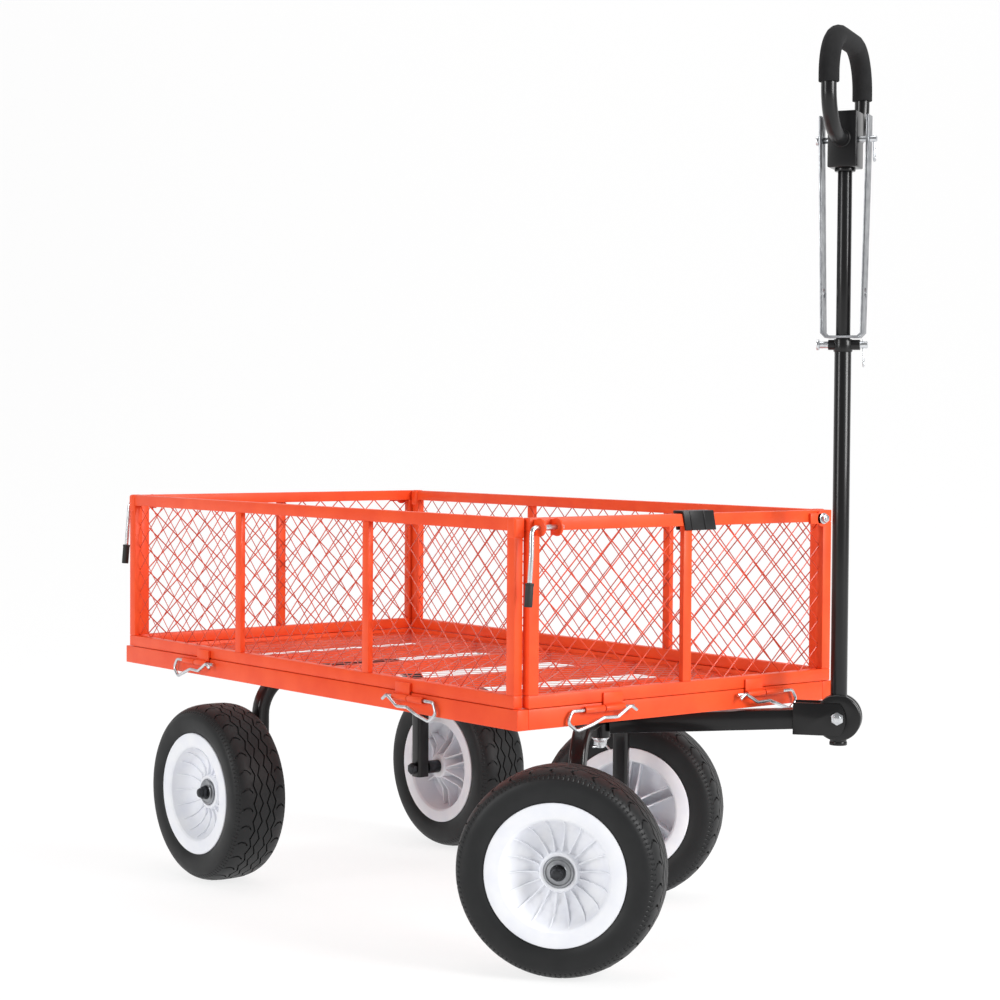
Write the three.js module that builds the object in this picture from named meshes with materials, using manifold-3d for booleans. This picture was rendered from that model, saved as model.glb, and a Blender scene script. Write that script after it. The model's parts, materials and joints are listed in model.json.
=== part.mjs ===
// A four-wheeled steel garden cart with fold-down mesh sides, front-axle steering, and a drawbar that
// can be pulled by its padded loop handle or hitched by its steel strap.
// Millimetres, +Z up, drawbar toward -Y. It is built about the deck's centre at ground level, and the
// last lines move the origin to the bottom centre of its bounding box.
import * as THREE from "three";
import { mergeVertices } from "three/addons/utils/BufferGeometryUtils.js";
import Module from "manifold-3d";

// ---- Driving dimensions ----
const GAP = 0.3; // between pieces that touch

const TYRE_R = 165;
const RIM_R = 112;
const WHEEL_SIDES = 24;
const REAR_AXLE_Y = 366;
const REAR_WHEEL_X = 284; // wheel mid-plane from the cart's centre line
const FRONT_WHEEL_X = 303;
const LEG_X = 190; // both axle arches
const ARCH_R = 15;
const ARCH_BEND = 75;
const ARCH_FOOT_Z = 148;
const REAR_ARCH_Z = 376.5;
const FRONT_ARCH_Z = 369.5;
const AXLE_R = 8;

const DECK_L = 1210;
const DECK_W = 693;
const RAIL_TOP = 424;
const RAIL_H = 32;
const RAIL_T = 22;
const RAIL_BOTTOM = RAIL_TOP - RAIL_H;
const CROSS_W = 20;
const FLOOR_Z = 416;
const SHEET_T = 2;

const PANEL_BOTTOM = 425;
const PANEL_TOP = 717;
const PANEL_T = 20; // frame tube, as seen from the side
const PANEL_D = 16; // the same tube's depth
const BAR_DEPTH = 10; // the thinner uprights between bays
const SIDE_OUT = 345; // outer face of a side panel
const LEFT_HALF = 594; // the latches hold the end panels against the left panel
const RIGHT_HALF = 587; // shorter, because the end panels lap over its ends
const SIDE_BAR_Y = 199;
const END_OUT = 605; // outer face of a front or rear panel
const END_LEFT = 325;
const END_RIGHT = 342;
const END_BAR_X = 6;
const CAP_H = 33;

const HINGE_Z = 416;
const HINGE_OUT = 6.5; // axis outside the deck rail's face
const KNUCKLE_R = 5.5;
const KNUCKLE_L = 40;
const PIN_WIRE_R = 2.75;
const SIDE_HINGE_Y = 333;
const END_HINGE_X = 177;

const LATCH_Z = 703;
const LATCH_OUT = 13; // axis outside the end panel's face
const EAR_R = 14;

const KINGPIN_Y = -401;
const KINGPIN_R = 7;
const SLEEVE_R = 17;
const SLEEVE_BOTTOM = 332;
const STEER = 37.6; // degrees, drawbar turned toward +X
const KNEE_T = 399; // knee bolt, measured out from the kingpin along the drawbar
const KNEE_Z = 381;
const DRUM_R = 38;
const DRUM_HALF = 17;
const TONGUE_SLOPE = 0.064;
const TONGUE_H = 32;
const BOLT_R = 6;

const POLE_FOOT_Z = 335;
const POLE_R = 13.75;
const COLLAR_TOP = 1003;
const UPPER_R = 11.75;
const STOW_Z = 993; // tow pin, where it is stowed
const HEAD_TWIST = -8.5; // degrees, the head sits slightly round on the pole
const HEAD_BOTTOM = 1281;
const HEAD_TOP = 1372;
const HEAD_PIN_Z = 1327;
const GRIP_HALF = 115;
const GRIP_TOP = 1489; // centre line of the loop's top
const GRIP_TUBE_R = 12.5;
const FOAM_R = 17.5;
const FOAM_END_Z = 1405;
const STRAP_BOTTOM = 1004;
const STRAP_T = 4;
const STRAP_W = 30;
const TOW_HOLE_Z = 1078;

// ---- Materials ----
const finish = (color, roughness, metalness) =>
  new THREE.MeshStandardMaterial({ color, roughness, metalness });
const ORANGE = finish(0xf0532e, 0.45, 0.1);
const BLACK = finish(0x1b1b1c, 0.4, 0.2);
const ZINC = finish(0xc9cccf, 0.35, 0.9);
const TYRE = finish(0x202122, 0.75, 0);
const RIM = finish(0xf2f3f5, 0.5, 0);
const FOAM = finish(0x2b2b2b, 0.9, 0);
const RUBBER = finish(0x2c2e2d, 0.7, 0);

// ---- Solids ----
const wasm = await Module();
wasm.setup();
const { Manifold } = wasm;

// Shared corners become one vertex each.
function weld(geometry) {
  geometry.deleteAttribute("normal");
  geometry.deleteAttribute("uv");
  return mergeVertices(geometry, 1e-3);
}

function solid(welded) {
  return new Manifold(
    new wasm.Mesh({
      numProp: 3,
      vertProperties: welded.attributes.position.array,
      triVerts: new Uint32Array(welded.index.array),
    }),
  );
}

const join = (...pieces) => Manifold.union(pieces.flat());

// A box between two opposite corners.
function box([x0, y0, z0], [x1, y1, z1]) {
  const g = weld(
    new THREE.BoxGeometry(Math.abs(x1 - x0), Math.abs(y1 - y0), Math.abs(z1 - z0)),
  );
  return solid(g.translate((x0 + x1) / 2, (y0 + y1) / 2, (z0 + z1) / 2));
}

// A round bar from one point to another.
function rod(from, to, radius, sides = 16) {
  const a = new THREE.Vector3(...from);
  const b = new THREE.Vector3(...to);
  const along = b.clone().sub(a);
  const g = weld(new THREE.CylinderGeometry(radius, radius, along.length(), sides));
  g.applyQuaternion(
    new THREE.Quaternion().setFromUnitVectors(new THREE.Vector3(0, 1, 0), along.normalize()),
  );
  const middle = a.add(b).multiplyScalar(0.5);
  return solid(g.translate(middle.x, middle.y, middle.z));
}

// The points of a bent bar: corners, each rounded to the bend radius.
function bent(corners, bend, arcSteps = 4) {
  const p = corners.map((c) => new THREE.Vector3(...c));
  const points = [p[0]];
  for (let i = 1; i < p.length - 1; i++) {
    const back = p[i - 1].clone().sub(p[i]);
    const on = p[i + 1].clone().sub(p[i]);
    const half = back.angleTo(on) / 2;
    const cut = bend / Math.tan(half);
    const start = p[i].clone().addScaledVector(back.normalize(), cut);
    const end = p[i].clone().addScaledVector(on.normalize(), cut);
    const bow = (4 / 3) * Math.tan((Math.PI / 2 - half) / 2) * cut * Math.tan(half);
    const arc = new THREE.CubicBezierCurve3(
      start,
      start.clone().addScaledVector(back, -bow),
      end.clone().addScaledVector(on, -bow),
      end,
    );
    points.push(...arc.getPoints(arcSteps));
  }
  points.push(p[p.length - 1]);
  return points;
}

// A curve that stops exactly at each given point, so a sweep has no more rings than it needs.
class Stations extends THREE.Curve {
  constructor(points) {
    super();
    this.points = points;
  }
  getPoint(t) {
    const at = t * (this.points.length - 1);
    const i = Math.min(Math.floor(at), this.points.length - 2);
    return this.points[i].clone().lerp(this.points[i + 1], at - i);
  }
  getPointAt(t) {
    return this.getPoint(t);
  }
  getTangentAt(t) {
    const last = this.points.length - 1;
    const i = Math.round(t * last);
    const before = this.points[Math.max(i - 1, 0)];
    const after = this.points[Math.min(i + 1, last)];
    return after.clone().sub(before).normalize();
  }
}

function ring(radius, sides) {
  const points = [];
  for (let i = 0; i < sides; i++) {
    const turn = (2 * Math.PI * i) / sides;
    points.push(new THREE.Vector2(radius * Math.cos(turn), radius * Math.sin(turn)));
  }
  return points;
}

// A round bar or tube swept along points.
function sweep(points, radius, sides = 12, boreRadius = 0) {
  const section = new THREE.Shape(ring(radius, sides));
  if (boreRadius) section.holes.push(new THREE.Path(ring(boreRadius, sides)));
  return solid(
    weld(
      new THREE.ExtrudeGeometry(section, {
        steps: points.length - 1,
        extrudePath: new Stations(points),
      }),
    ),
  );
}

// A flat plate: an outline in its own two directions, given a thickness along the third.
function plate(outline, thickness) {
  const shape = new THREE.Shape(outline.map(([a, b]) => new THREE.Vector2(a, b)));
  const g = weld(new THREE.ExtrudeGeometry(shape, { depth: thickness, bevelEnabled: false }));
  return solid(g.translate(0, 0, -thickness / 2));
}

// A closed outline of (radius, width) points turned about the X axis, width along +X.
function turned(outline, sides = WHEEL_SIDES) {
  const loop = [...outline, outline[0]].map(([r, w]) => new THREE.Vector2(r, w));
  const g = weld(new THREE.LatheGeometry(loop, sides));
  return solid(g.rotateZ(-Math.PI / 2));
}

function mesh(name, shape, material) {
  const made = shape.getMesh();
  const geometry = new THREE.BufferGeometry();
  geometry.setAttribute("position", new THREE.BufferAttribute(made.vertProperties, 3));
  geometry.setIndex(new THREE.BufferAttribute(made.triVerts, 1));
  geometry.computeVertexNormals();
  const node = new THREE.Mesh(geometry, material);
  node.name = name;
  return node;
}

const cart = new THREE.Group();

// ---- Expanded-metal sheet: a rectangle of width by height with staggered diamond holes ----
function diamondSheet(width, height, across, up, strand) {
  const cellW = width / across;
  const cellH = height / up;
  const reach = (cellW * cellH) / 2 / Math.hypot(cellW, cellH);
  const open = 1 - strand / 2 / reach;
  const outline = [
    [(-cellW / 2) * open, 0],
    [0, (-cellH / 2) * open],
    [(cellW / 2) * open, 0],
    [0, (cellH / 2) * open],
  ];
  const diamond = plate(outline, SHEET_T + 2);
  const holes = [];
  for (let i = 0; i <= 2 * across; i++)
    for (let j = i % 2; j <= 2 * up; j += 2)
      holes.push(diamond.translate([(i * cellW) / 2 - width / 2, (j * cellH) / 2 - height / 2, 0]));
  const half = [width / 2, height / 2, SHEET_T];
  const kept = box([-half[0], -half[1], -half[2]], half);
  const edge = strand / 2;
  const sheet = box([-half[0] - edge, -half[1] - edge, -SHEET_T / 2], [
    half[0] + edge,
    half[1] + edge,
    SHEET_T / 2,
  ]);
  return sheet.subtract(join(holes).intersect(kept));
}

// ---- Hinges: a knuckle on the deck rail and one on the panel, turned onto each side ----
// In a hinge's own frame +X runs along the pin, -Y is out from the rail, and the axis is at y = z = 0.
const shank = (x0, x1) => rod([x0, 0, 0], [x1, 0, 0], KNUCKLE_R, 8);
const bore = rod([-80, 0, 0], [80, 0, 0], PIN_WIRE_R + 0.8, 8);

function deckKnuckle() {
  const foot = box([1, 0, -KNUCKLE_R], [KNUCKLE_L + 1, HINGE_OUT + 1, 0]);
  return join(shank(1, KNUCKLE_L + 1), foot).subtract(bore);
}

function panelKnuckle(setback) {
  const [x0, x1] = [-KNUCKLE_L - 1, -1];
  const strip = box([x0, KNUCKLE_R - 3, 0], [x1, KNUCKLE_R, 24]);
  const pad = box([x0, KNUCKLE_R - 3, 10], [x1, HINGE_OUT + setback + 1, 24]);
  return join(shank(x0, x1), strip, pad).subtract(bore);
}

// The removable pin: a straight wire with its tail bent back below it and sprung over its own end.
function hingePin() {
  const corners = [
    [-62, 0, 0],
    [66, 0, 0],
    [76, -1, -17],
    [58, -3, -31],
    [30, -7.5, -22],
    [6, -7.5, -13],
    [-22, -7.5, -14],
    [-50, -7.5, 2],
    [-62, -7.5, -6],
  ];
  return sweep(bent(corners, 9, 1), PIN_WIRE_R, 6);
}

// Each hinge's place: its mirror sends the pin's bend toward the cart's nearer corner.
const SIDE_AXIS = DECK_W / 2 + HINGE_OUT;
const END_AXIS = DECK_L / 2 + HINGE_OUT;
const HINGES = [
  { name: "front_left", side: "front", x: -END_HINGE_X, y: -END_AXIS, turn: 0, flip: -1 },
  { name: "front_right", side: "front", x: END_HINGE_X, y: -END_AXIS, turn: 0, flip: 1 },
  { name: "rear_left", side: "rear", x: -END_HINGE_X, y: END_AXIS, turn: 180, flip: 1 },
  { name: "rear_right", side: "rear", x: END_HINGE_X, y: END_AXIS, turn: 180, flip: -1 },
  { name: "left_front", side: "left", x: -SIDE_AXIS, y: -SIDE_HINGE_Y, turn: -90, flip: 1 },
  { name: "left_rear", side: "left", x: -SIDE_AXIS, y: SIDE_HINGE_Y, turn: -90, flip: -1 },
  { name: "right_front", side: "right", x: SIDE_AXIS, y: -SIDE_HINGE_Y, turn: 90, flip: -1 },
  { name: "right_rear", side: "right", x: SIDE_AXIS, y: SIDE_HINGE_Y, turn: 90, flip: 1 },
];

function atHinge(shape, hinge) {
  const mirrored = hinge.flip < 0 ? shape.mirror([1, 0, 0]) : shape;
  return mirrored.rotate([0, 0, hinge.turn]).translate([hinge.x, hinge.y, HINGE_Z]);
}

// ---- Deck ----
function deckFrame() {
  const [hw, hl] = [DECK_W / 2, DECK_L / 2];
  const inner = hw - RAIL_T + 1;
  const rails = [-1, 1].flatMap((s) => [
    box([s * hw, -hl, RAIL_BOTTOM], [s * (hw - RAIL_T), hl, RAIL_TOP]),
    box([-inner, s * hl, RAIL_BOTTOM], [inner, s * (hl - RAIL_T), RAIL_TOP]),
  ]);
  const cross = [KINGPIN_Y - 55, KINGPIN_Y + 55, -120, 130, REAR_AXLE_Y].map((y) =>
    box([-inner, y - CROSS_W / 2, RAIL_BOTTOM], [inner, y + CROSS_W / 2, FLOOR_Z - GAP]),
  );
  const knuckles = HINGES.map((h) => atHinge(deckKnuckle(), h));
  return join(rails, cross, knuckles);
}
cart.add(mesh("deck_frame", deckFrame(), ORANGE));

const floorSheet = diamondSheet(DECK_W - 2 * RAIL_T - 12, DECK_L - 2 * RAIL_T - 12, 4, 5, 10);
cart.add(mesh("deck_mesh", floorSheet.translate([0, 0, FLOOR_Z + SHEET_T / 2]), ORANGE));

HINGES.forEach((h) => cart.add(mesh("hinge_pin_" + h.name, atHinge(hingePin(), h), ZINC)));

// ---- Fold-down panels ----
// A panel stands in its own frame: +X along it, outer face at y = 0, depth toward +Y.
function panelFrame(from, to, bars) {
  const t = PANEL_T;
  const rails = [
    box([from, 0, PANEL_BOTTOM], [to, PANEL_D, PANEL_BOTTOM + t]),
    box([from, 0, PANEL_TOP - t], [to, PANEL_D, PANEL_TOP]),
  ];
  const posts = [
    box([from, 0, PANEL_BOTTOM + 1], [from + t, PANEL_D, PANEL_TOP - 1]),
    box([to - t, 0, PANEL_BOTTOM + 1], [to, PANEL_D, PANEL_TOP - 1]),
  ];
  const between = bars.map((x) =>
    box([x - t / 2, 0, PANEL_BOTTOM + 1], [x + t / 2, BAR_DEPTH, PANEL_TOP - 1]),
  );
  return join(rails, posts, between);
}

function panelSheet(from, to, across) {
  const window = [to - from - 2 * PANEL_T - 7, PANEL_TOP - PANEL_BOTTOM - 2 * PANEL_T - 7];
  const sheet = diamondSheet(...window, across, 2, 6);
  const depth = BAR_DEPTH + GAP + SHEET_T / 2;
  const middle = [(from + to) / 2, depth, (PANEL_TOP + PANEL_BOTTOM) / 2];
  return sheet.rotate([90, 0, 0]).translate(middle);
}

// A rounded sleeve over a side panel's top corner.
function cornerCap(half, s) {
  const [r, w, d] = [7, 21, 21.5];
  const outline = [
    [0, 0],
    [w - r, 0],
    [w - r * 0.3, r * 0.3],
    [w, r],
    [w, d - r],
    [w - r * 0.3, d - r * 0.3],
    [w - r, d],
    [0, d],
  ].map(([a, b]) => [s * (half + 1.5 - w + a), b - 2]);
  const ordered = s > 0 ? outline : outline.reverse();
  return plate(ordered, CAP_H).translate([0, 0, PANEL_TOP + 1 - CAP_H / 2]);
}

// The latch bracket near an end panel's left end: two round ears on a base, with a bore across.
const EARS_X = [-316, -282];
const EAR_T = 3.5;
function latchBracket() {
  const ears = EARS_X.flatMap((x) => [
    rod([x - EAR_T / 2, -LATCH_OUT, LATCH_Z], [x + EAR_T / 2, -LATCH_OUT, LATCH_Z], EAR_R, 12),
    box([x - EAR_T / 2, -LATCH_OUT, LATCH_Z - EAR_R], [x + EAR_T / 2, 1, LATCH_Z + EAR_R - 2]),
  ]);
  const pin = rod([-346, -LATCH_OUT, LATCH_Z], [-256, -LATCH_OUT, LATCH_Z], 4.5, 8);
  return join(ears).subtract(pin);
}

// The round lug on the other end's post, with the bolt that holds the right panel.
const LUG_X = 316;
function lug() {
  const disc = rod([LUG_X, -5, LATCH_Z], [LUG_X, -1, LATCH_Z], EAR_R, 14);
  const tail = box([LUG_X - 30, -5, LATCH_Z - 8], [LUG_X, -1, LATCH_Z + 8]);
  const foot = box([LUG_X - 30, -5, LATCH_Z - 8], [LUG_X - 8, 1, LATCH_Z + 8]);
  const hole = rod([LUG_X, -20, LATCH_Z], [LUG_X, 20, LATCH_Z], 4.6, 8);
  return join(disc, tail, foot).subtract(hole);
}

const END = { from: -END_LEFT, to: END_RIGHT, bars: [END_BAR_X], across: 3, x: 0, isEnd: true };
const PANELS = {
  front: { ...END, turn: 0, y: -END_OUT, mirror: false },
  rear: { ...END, turn: 180, y: END_OUT, mirror: true },
  left: {
    from: -LEFT_HALF,
    to: LEFT_HALF,
    bars: [-SIDE_BAR_Y, SIDE_BAR_Y],
    across: 5,
    turn: -90,
    x: -SIDE_OUT,
    y: 0,
    mirror: false,
  },
  right: {
    from: -RIGHT_HALF,
    to: RIGHT_HALF,
    bars: [-SIDE_BAR_Y, SIDE_BAR_Y],
    across: 5,
    turn: 90,
    x: SIDE_OUT,
    y: 0,
    mirror: false,
  },
};

// The rear panel is the front one mirrored, so its latch is at the cart's left as well.
function atPanel(shape, panel) {
  const made = panel.mirror ? shape.mirror([1, 0, 0]) : shape;
  return made.rotate([0, 0, panel.turn]).translate([panel.x, panel.y, 0]);
}

// The latch: a bent rod that turns in the ears, with its arm hanging past the panel's corner.
const ARM_KNEE = [-334, -LATCH_OUT - 2, LATCH_Z - 40];
const ARM_END = [-340, -LATCH_OUT - 3, 588];
function latchLever() {
  const corners = [
    [-272, -LATCH_OUT, LATCH_Z],
    [-332, -LATCH_OUT, LATCH_Z],
    ARM_KNEE,
    ARM_END,
  ];
  const rodShape = sweep(bent(corners, 10, 2), 3.8, 8);
  const washer = rod([-279.8, -LATCH_OUT, LATCH_Z], [-274, -LATCH_OUT, LATCH_Z], 8, 10);
  return join(rodShape, washer);
}
function leverTip() {
  const onArm = (share) => ARM_KNEE.map((k, i) => k + (ARM_END[i] - k) * share);
  const sleeve = rod(onArm(0.6), onArm(1.07), 6.6, 10);
  return sleeve.subtract(rod(onArm(0.55), onArm(1.01), 4.5, 8));
}
function lugBolt() {
  const shaft = rod([LUG_X, -15, LATCH_Z], [LUG_X, -1, LATCH_Z], 4, 8);
  const washer = rod([LUG_X, -7, LATCH_Z], [LUG_X, -5 - GAP, LATCH_Z], 9.5, 12);
  const nut = rod([LUG_X, -13.5, LATCH_Z], [LUG_X, -6.5, LATCH_Z], 7.5, 6);
  return join(shaft, washer, nut);
}

for (const [side, panel] of Object.entries(PANELS)) {
  const frame = atPanel(panelFrame(panel.from, panel.to, panel.bars), panel);
  const setback = panel.isEnd ? DECK_L / 2 - END_OUT : DECK_W / 2 - SIDE_OUT;
  const knuckles = HINGES.filter((h) => h.side === side).map((h) =>
    atHinge(panelKnuckle(setback), h),
  );
  const caps = () => [-1, 1].map((s) => cornerCap(panel.to, s));
  const trim = panel.isEnd ? [latchBracket(), lug()] : caps();
  const all = join(frame, knuckles, trim.map((piece) => atPanel(piece, panel)));
  cart.add(mesh("panel_frame_" + side, all, ORANGE));
  const sheet = atPanel(panelSheet(panel.from, panel.to, panel.across), panel);
  cart.add(mesh("panel_mesh_" + side, sheet, ORANGE));
  if (panel.isEnd) {
    cart.add(mesh("latch_lever_" + side, atPanel(latchLever(), panel), ZINC));
    cart.add(mesh("latch_tip_" + side, atPanel(leverTip(), panel), RUBBER));
    cart.add(mesh("corner_bolt_" + side, atPanel(lugBolt(), panel), ZINC));
  }
}

// ---- Moulded clip over the front panel's top rail ----
const CLIP_X = [-9, 66];
const CLIP_BOTTOM = 690;
function railClip() {
  const wall = 5;
  const [y0, y1] = [-END_OUT - wall, -END_OUT + PANEL_D + wall];
  const shell = box([CLIP_X[0], y0, CLIP_BOTTOM], [CLIP_X[1], y1, PANEL_TOP + wall]);
  const room = box(
    [CLIP_X[0] - 1, -END_OUT - GAP, CLIP_BOTTOM - 1],
    [CLIP_X[1] + 1, -END_OUT + PANEL_D + GAP, PANEL_TOP + GAP],
  );
  return shell.subtract(room);
}
cart.add(mesh("rail_clip", railClip(), BLACK));

// ---- Axle arches and stub axles; x across the cart, at y = 0 ----
function arch(topZ) {
  const corners = [
    [-LEG_X, 0, ARCH_FOOT_Z],
    [-LEG_X, 0, topZ],
    [LEG_X, 0, topZ],
    [LEG_X, 0, ARCH_FOOT_Z],
  ];
  const axleBore = rod([-220, 0, TYRE_R], [220, 0, TYRE_R], AXLE_R + 0.6, 10);
  return sweep(bent(corners, ARCH_BEND, 4), ARCH_R, 12).subtract(axleBore);
}

// The hub's inner and outer faces, measured outward from the wheel's mid-plane.
const HUB_IN = -50;
const HUB_OUT = 22;
const BUSH_FACE = HUB_OUT + 3.5;

// A bolt out through the arch's leg, a spacer, and the nut outside the hub.
function stubAxle(side, midX) {
  const at = (x) => [side * x, 0, TYRE_R];
  const legOut = LEG_X + ARCH_R + GAP;
  const head = rod(at(LEG_X - ARCH_R - 9), at(LEG_X - ARCH_R - GAP), 12, 6);
  const shaft = rod(at(LEG_X - ARCH_R - 9), at(midX + BUSH_FACE + 17), AXLE_R, 10);
  const spacer = rod(at(legOut), at(midX + HUB_IN - GAP), 13, 10);
  const nut = rod(at(midX + BUSH_FACE + GAP), at(midX + BUSH_FACE + 13), 12, 10);
  return join(head, shaft, spacer, nut);
}

// ---- Wheels, with the outer side toward +X ----
const TYRE_OUTLINE = [
  [RIM_R + GAP, -50],
  [124, -56],
  [143, -55.5],
  [157, -47],
  [TYRE_R, -33],
  [TYRE_R, 33],
  [157, 47],
  [143, 55.5],
  [124, 56],
  [RIM_R + GAP, 50],
];
const RIM_OUTLINE = [
  [RIM_R, -53],
  [RIM_R, 53],
  [86, 50],
  [80, 16],
  [31, 12],
  [30, HUB_OUT],
  [16, HUB_OUT],
  [16, 4],
  [9.2, 4],
  [9.2, HUB_IN],
  [30, HUB_IN],
  [31, 0],
  [82, 4],
  [100, -50],
];
const BUSH_OUTLINE = [
  [8.4, 5],
  [15.6, 5],
  [15.6, HUB_OUT + GAP],
  [24, HUB_OUT + GAP],
  [24, BUSH_FACE],
  [8.4, BUSH_FACE],
];
function wheel(name, side, midX) {
  const group = new THREE.Group();
  const facing = (shape) => (side < 0 ? shape.mirror([1, 0, 0]) : shape);
  group.add(
    mesh("tyre_" + name, facing(turned(TYRE_OUTLINE)), TYRE),
    mesh("rim_" + name, facing(turned(RIM_OUTLINE)), RIM),
    mesh("hub_bearing_" + name, facing(turned(BUSH_OUTLINE, 16)), ZINC),
  );
  group.position.set(side * midX, 0, TYRE_R);
  return group;
}

// ---- Rear axle ----
const rear = new THREE.Group();
rear.position.y = REAR_AXLE_Y;
rear.add(
  mesh("rear_axle_frame", arch(REAR_ARCH_Z), BLACK),
  mesh("stub_axle_rear_left", stubAxle(-1, REAR_WHEEL_X), ZINC),
  mesh("stub_axle_rear_right", stubAxle(1, REAR_WHEEL_X), ZINC),
  wheel("rear_left", -1, REAR_WHEEL_X),
  wheel("rear_right", 1, REAR_WHEEL_X),
);
cart.add(rear);

// ---- Steering pivot under the deck ----
function pivotPlate() {
  const flat = box([-75, KINGPIN_Y - 70, 385.6], [75, KINGPIN_Y + 70, RAIL_BOTTOM - GAP]);
  return flat.subtract(rod([0, KINGPIN_Y, 380], [0, KINGPIN_Y, 400], KINGPIN_R + 0.6, 16));
}
function kingpin() {
  const at = (z) => [0, KINGPIN_Y, z];
  return join(
    rod(at(314), at(395), KINGPIN_R, 12),
    rod(at(RAIL_BOTTOM), at(RAIL_BOTTOM + 9), 12, 6),
    rod(at(SLEEVE_BOTTOM - 4.5), at(SLEEVE_BOTTOM - GAP), 15, 14),
    rod(at(318), at(SLEEVE_BOTTOM - 4), 11.5, 6),
    rod([-14, KINGPIN_Y, 316], [14, KINGPIN_Y, 316], 1.6, 6),
  );
}
cart.add(mesh("pivot_plate", pivotPlate(), BLACK), mesh("kingpin", kingpin(), ZINC));

// ---- Everything that steers, about the kingpin; the drawbar runs toward -Y ----
const front = new THREE.Group();
front.position.y = KINGPIN_Y;
front.rotation.z = THREE.MathUtils.degToRad(STEER);
cart.add(front);

function frontAxleFrame() {
  const sleeve = rod([0, 0, SLEEVE_BOTTOM], [0, 0, 385], SLEEVE_R, 16);
  const turntable = rod([0, 0, 379], [0, 0, 385], 50, 24);
  const pinBore = rod([0, 0, 300], [0, 0, 400], KINGPIN_R + 0.8, 12);
  return join(arch(FRONT_ARCH_Z), sleeve, turntable).subtract(pinBore);
}

const cheekY = [KNEE_T - 73, KNEE_T + 14];
const cheekZ = [352, 405];
function tongue() {
  const [t0, t1] = [SLEEVE_R + 1, KNEE_T - 49.5];
  const length = (t1 - t0) * Math.hypot(1, TONGUE_SLOPE);
  const middleZ = 359 + TONGUE_SLOPE * ((t0 + t1) / 2 - 55);
  const bar = box([-17.7, -length / 2, -TONGUE_H / 2], [17.7, length / 2, TONGUE_H / 2])
    .rotate([-THREE.MathUtils.radToDeg(Math.atan(TONGUE_SLOPE)), 0, 0])
    .translate([0, -(t0 + t1) / 2, middleZ]);
  const outline = [
    [cheekY[0], cheekZ[0]],
    [cheekY[1] - 9, cheekZ[0]],
    [cheekY[1] - 2.5, cheekZ[0] + 12],
    [cheekY[1], KNEE_Z - 2.5],
    [cheekY[1] - 2.5, cheekZ[1] - 12],
    [cheekY[1] - 9, cheekZ[1]],
    [cheekY[0], cheekZ[1]],
  ];
  // The outline's first direction is -Y and its second +Z, so the cheek's thickness runs along X.
  const cheeks = [-1, 1].map((s) =>
    plate(outline, 4).rotate([90, 0, 0]).rotate([0, 0, -90]).translate([s * 19.6, 0, 0]),
  );
  const boltBore = rod([-40, -KNEE_T, KNEE_Z], [40, -KNEE_T, KNEE_Z], BOLT_R + 0.6, 12);
  return join(bar, cheeks).subtract(boltBore);
}
function kneeBolt() {
  const at = (x) => [x, -KNEE_T, KNEE_Z];
  return join(
    rod(at(-29), at(31), BOLT_R, 12),
    rod(at(-29), at(-21.6 - GAP), 11, 6),
    rod(at(21.6 + GAP), at(29), 11, 6),
  );
}
front.add(
  mesh("front_axle_frame", frontAxleFrame(), BLACK),
  mesh("stub_axle_front_left", stubAxle(-1, FRONT_WHEEL_X), ZINC),
  mesh("stub_axle_front_right", stubAxle(1, FRONT_WHEEL_X), ZINC),
  mesh("tongue", tongue(), BLACK),
  mesh("knee_bolt", kneeBolt(), ZINC),
  wheel("front_left", -1, FRONT_WHEEL_X),
  wheel("front_right", 1, FRONT_WHEEL_X),
);

// ---- Pole, about its own vertical axis ----
const pole = new THREE.Group();
pole.position.y = -KNEE_T;
front.add(pole);

function poleLower() {
  const tube = rod([0, 0, POLE_FOOT_Z], [0, 0, COLLAR_TOP], POLE_R, 16);
  const drum = rod([-DRUM_HALF, 0, KNEE_Z], [DRUM_HALF, 0, KNEE_Z], DRUM_R, 28);
  const collar = rod([0, 0, COLLAR_TOP - 22], [0, 0, COLLAR_TOP], 15.5, 16);
  const boss = rod([0, 24, STOW_Z], [0, -28, STOW_Z], 8.5, 12);
  const boltBore = rod([-40, 0, KNEE_Z], [40, 0, KNEE_Z], BOLT_R + 0.6, 12);
  const pinBore = rod([0, 50, STOW_Z], [0, -50, STOW_Z], 6.4, 12);
  return join(tube, drum, collar, boss).subtract(boltBore).subtract(pinBore);
}
const poleUpper = () =>
  rod([0, 0, COLLAR_TOP + GAP], [0, 0, HEAD_BOTTOM - 6 - GAP], UPPER_R, 20);

// A plain pin along Y with a head at +Y and a cross hole for its clip.
function clipPin(z, radius, headY, endY, headR, clipY) {
  const shaft = rod([0, headY, z], [0, endY, z], radius, 12);
  const head = rod([0, headY, z], [0, headY - 4.5, z], headR, 14);
  return join(shaft, head).subtract(rod([0, clipY, z - 20], [0, clipY, z + 20], 1.8, 8));
}

// A sprung wire clip whose straight leg drops through the pin.
function wireClip(z, clipY) {
  const corners = [
    [0, clipY, z + 9],
    [0, clipY, z - 30],
    [7, clipY, z - 40],
    [14, clipY, z - 30],
    [11, clipY, z - 14],
  ];
  return sweep(bent(corners, 6, 3), 1.3, 6);
}

const TOW_CLIP_Y = -33;
pole.add(
  mesh("pole_lower", poleLower(), BLACK),
  mesh("pole_upper", poleUpper(), BLACK),
  mesh("tow_pin", clipPin(STOW_Z, 5.8, 43, -40, 9, TOW_CLIP_Y), ZINC),
  mesh("tow_pin_clip", wireClip(STOW_Z, TOW_CLIP_Y), ZINC),
);

// ---- Head of the pole ----
const head = new THREE.Group();
head.rotation.z = THREE.MathUtils.degToRad(HEAD_TWIST);
pole.add(head);

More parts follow.
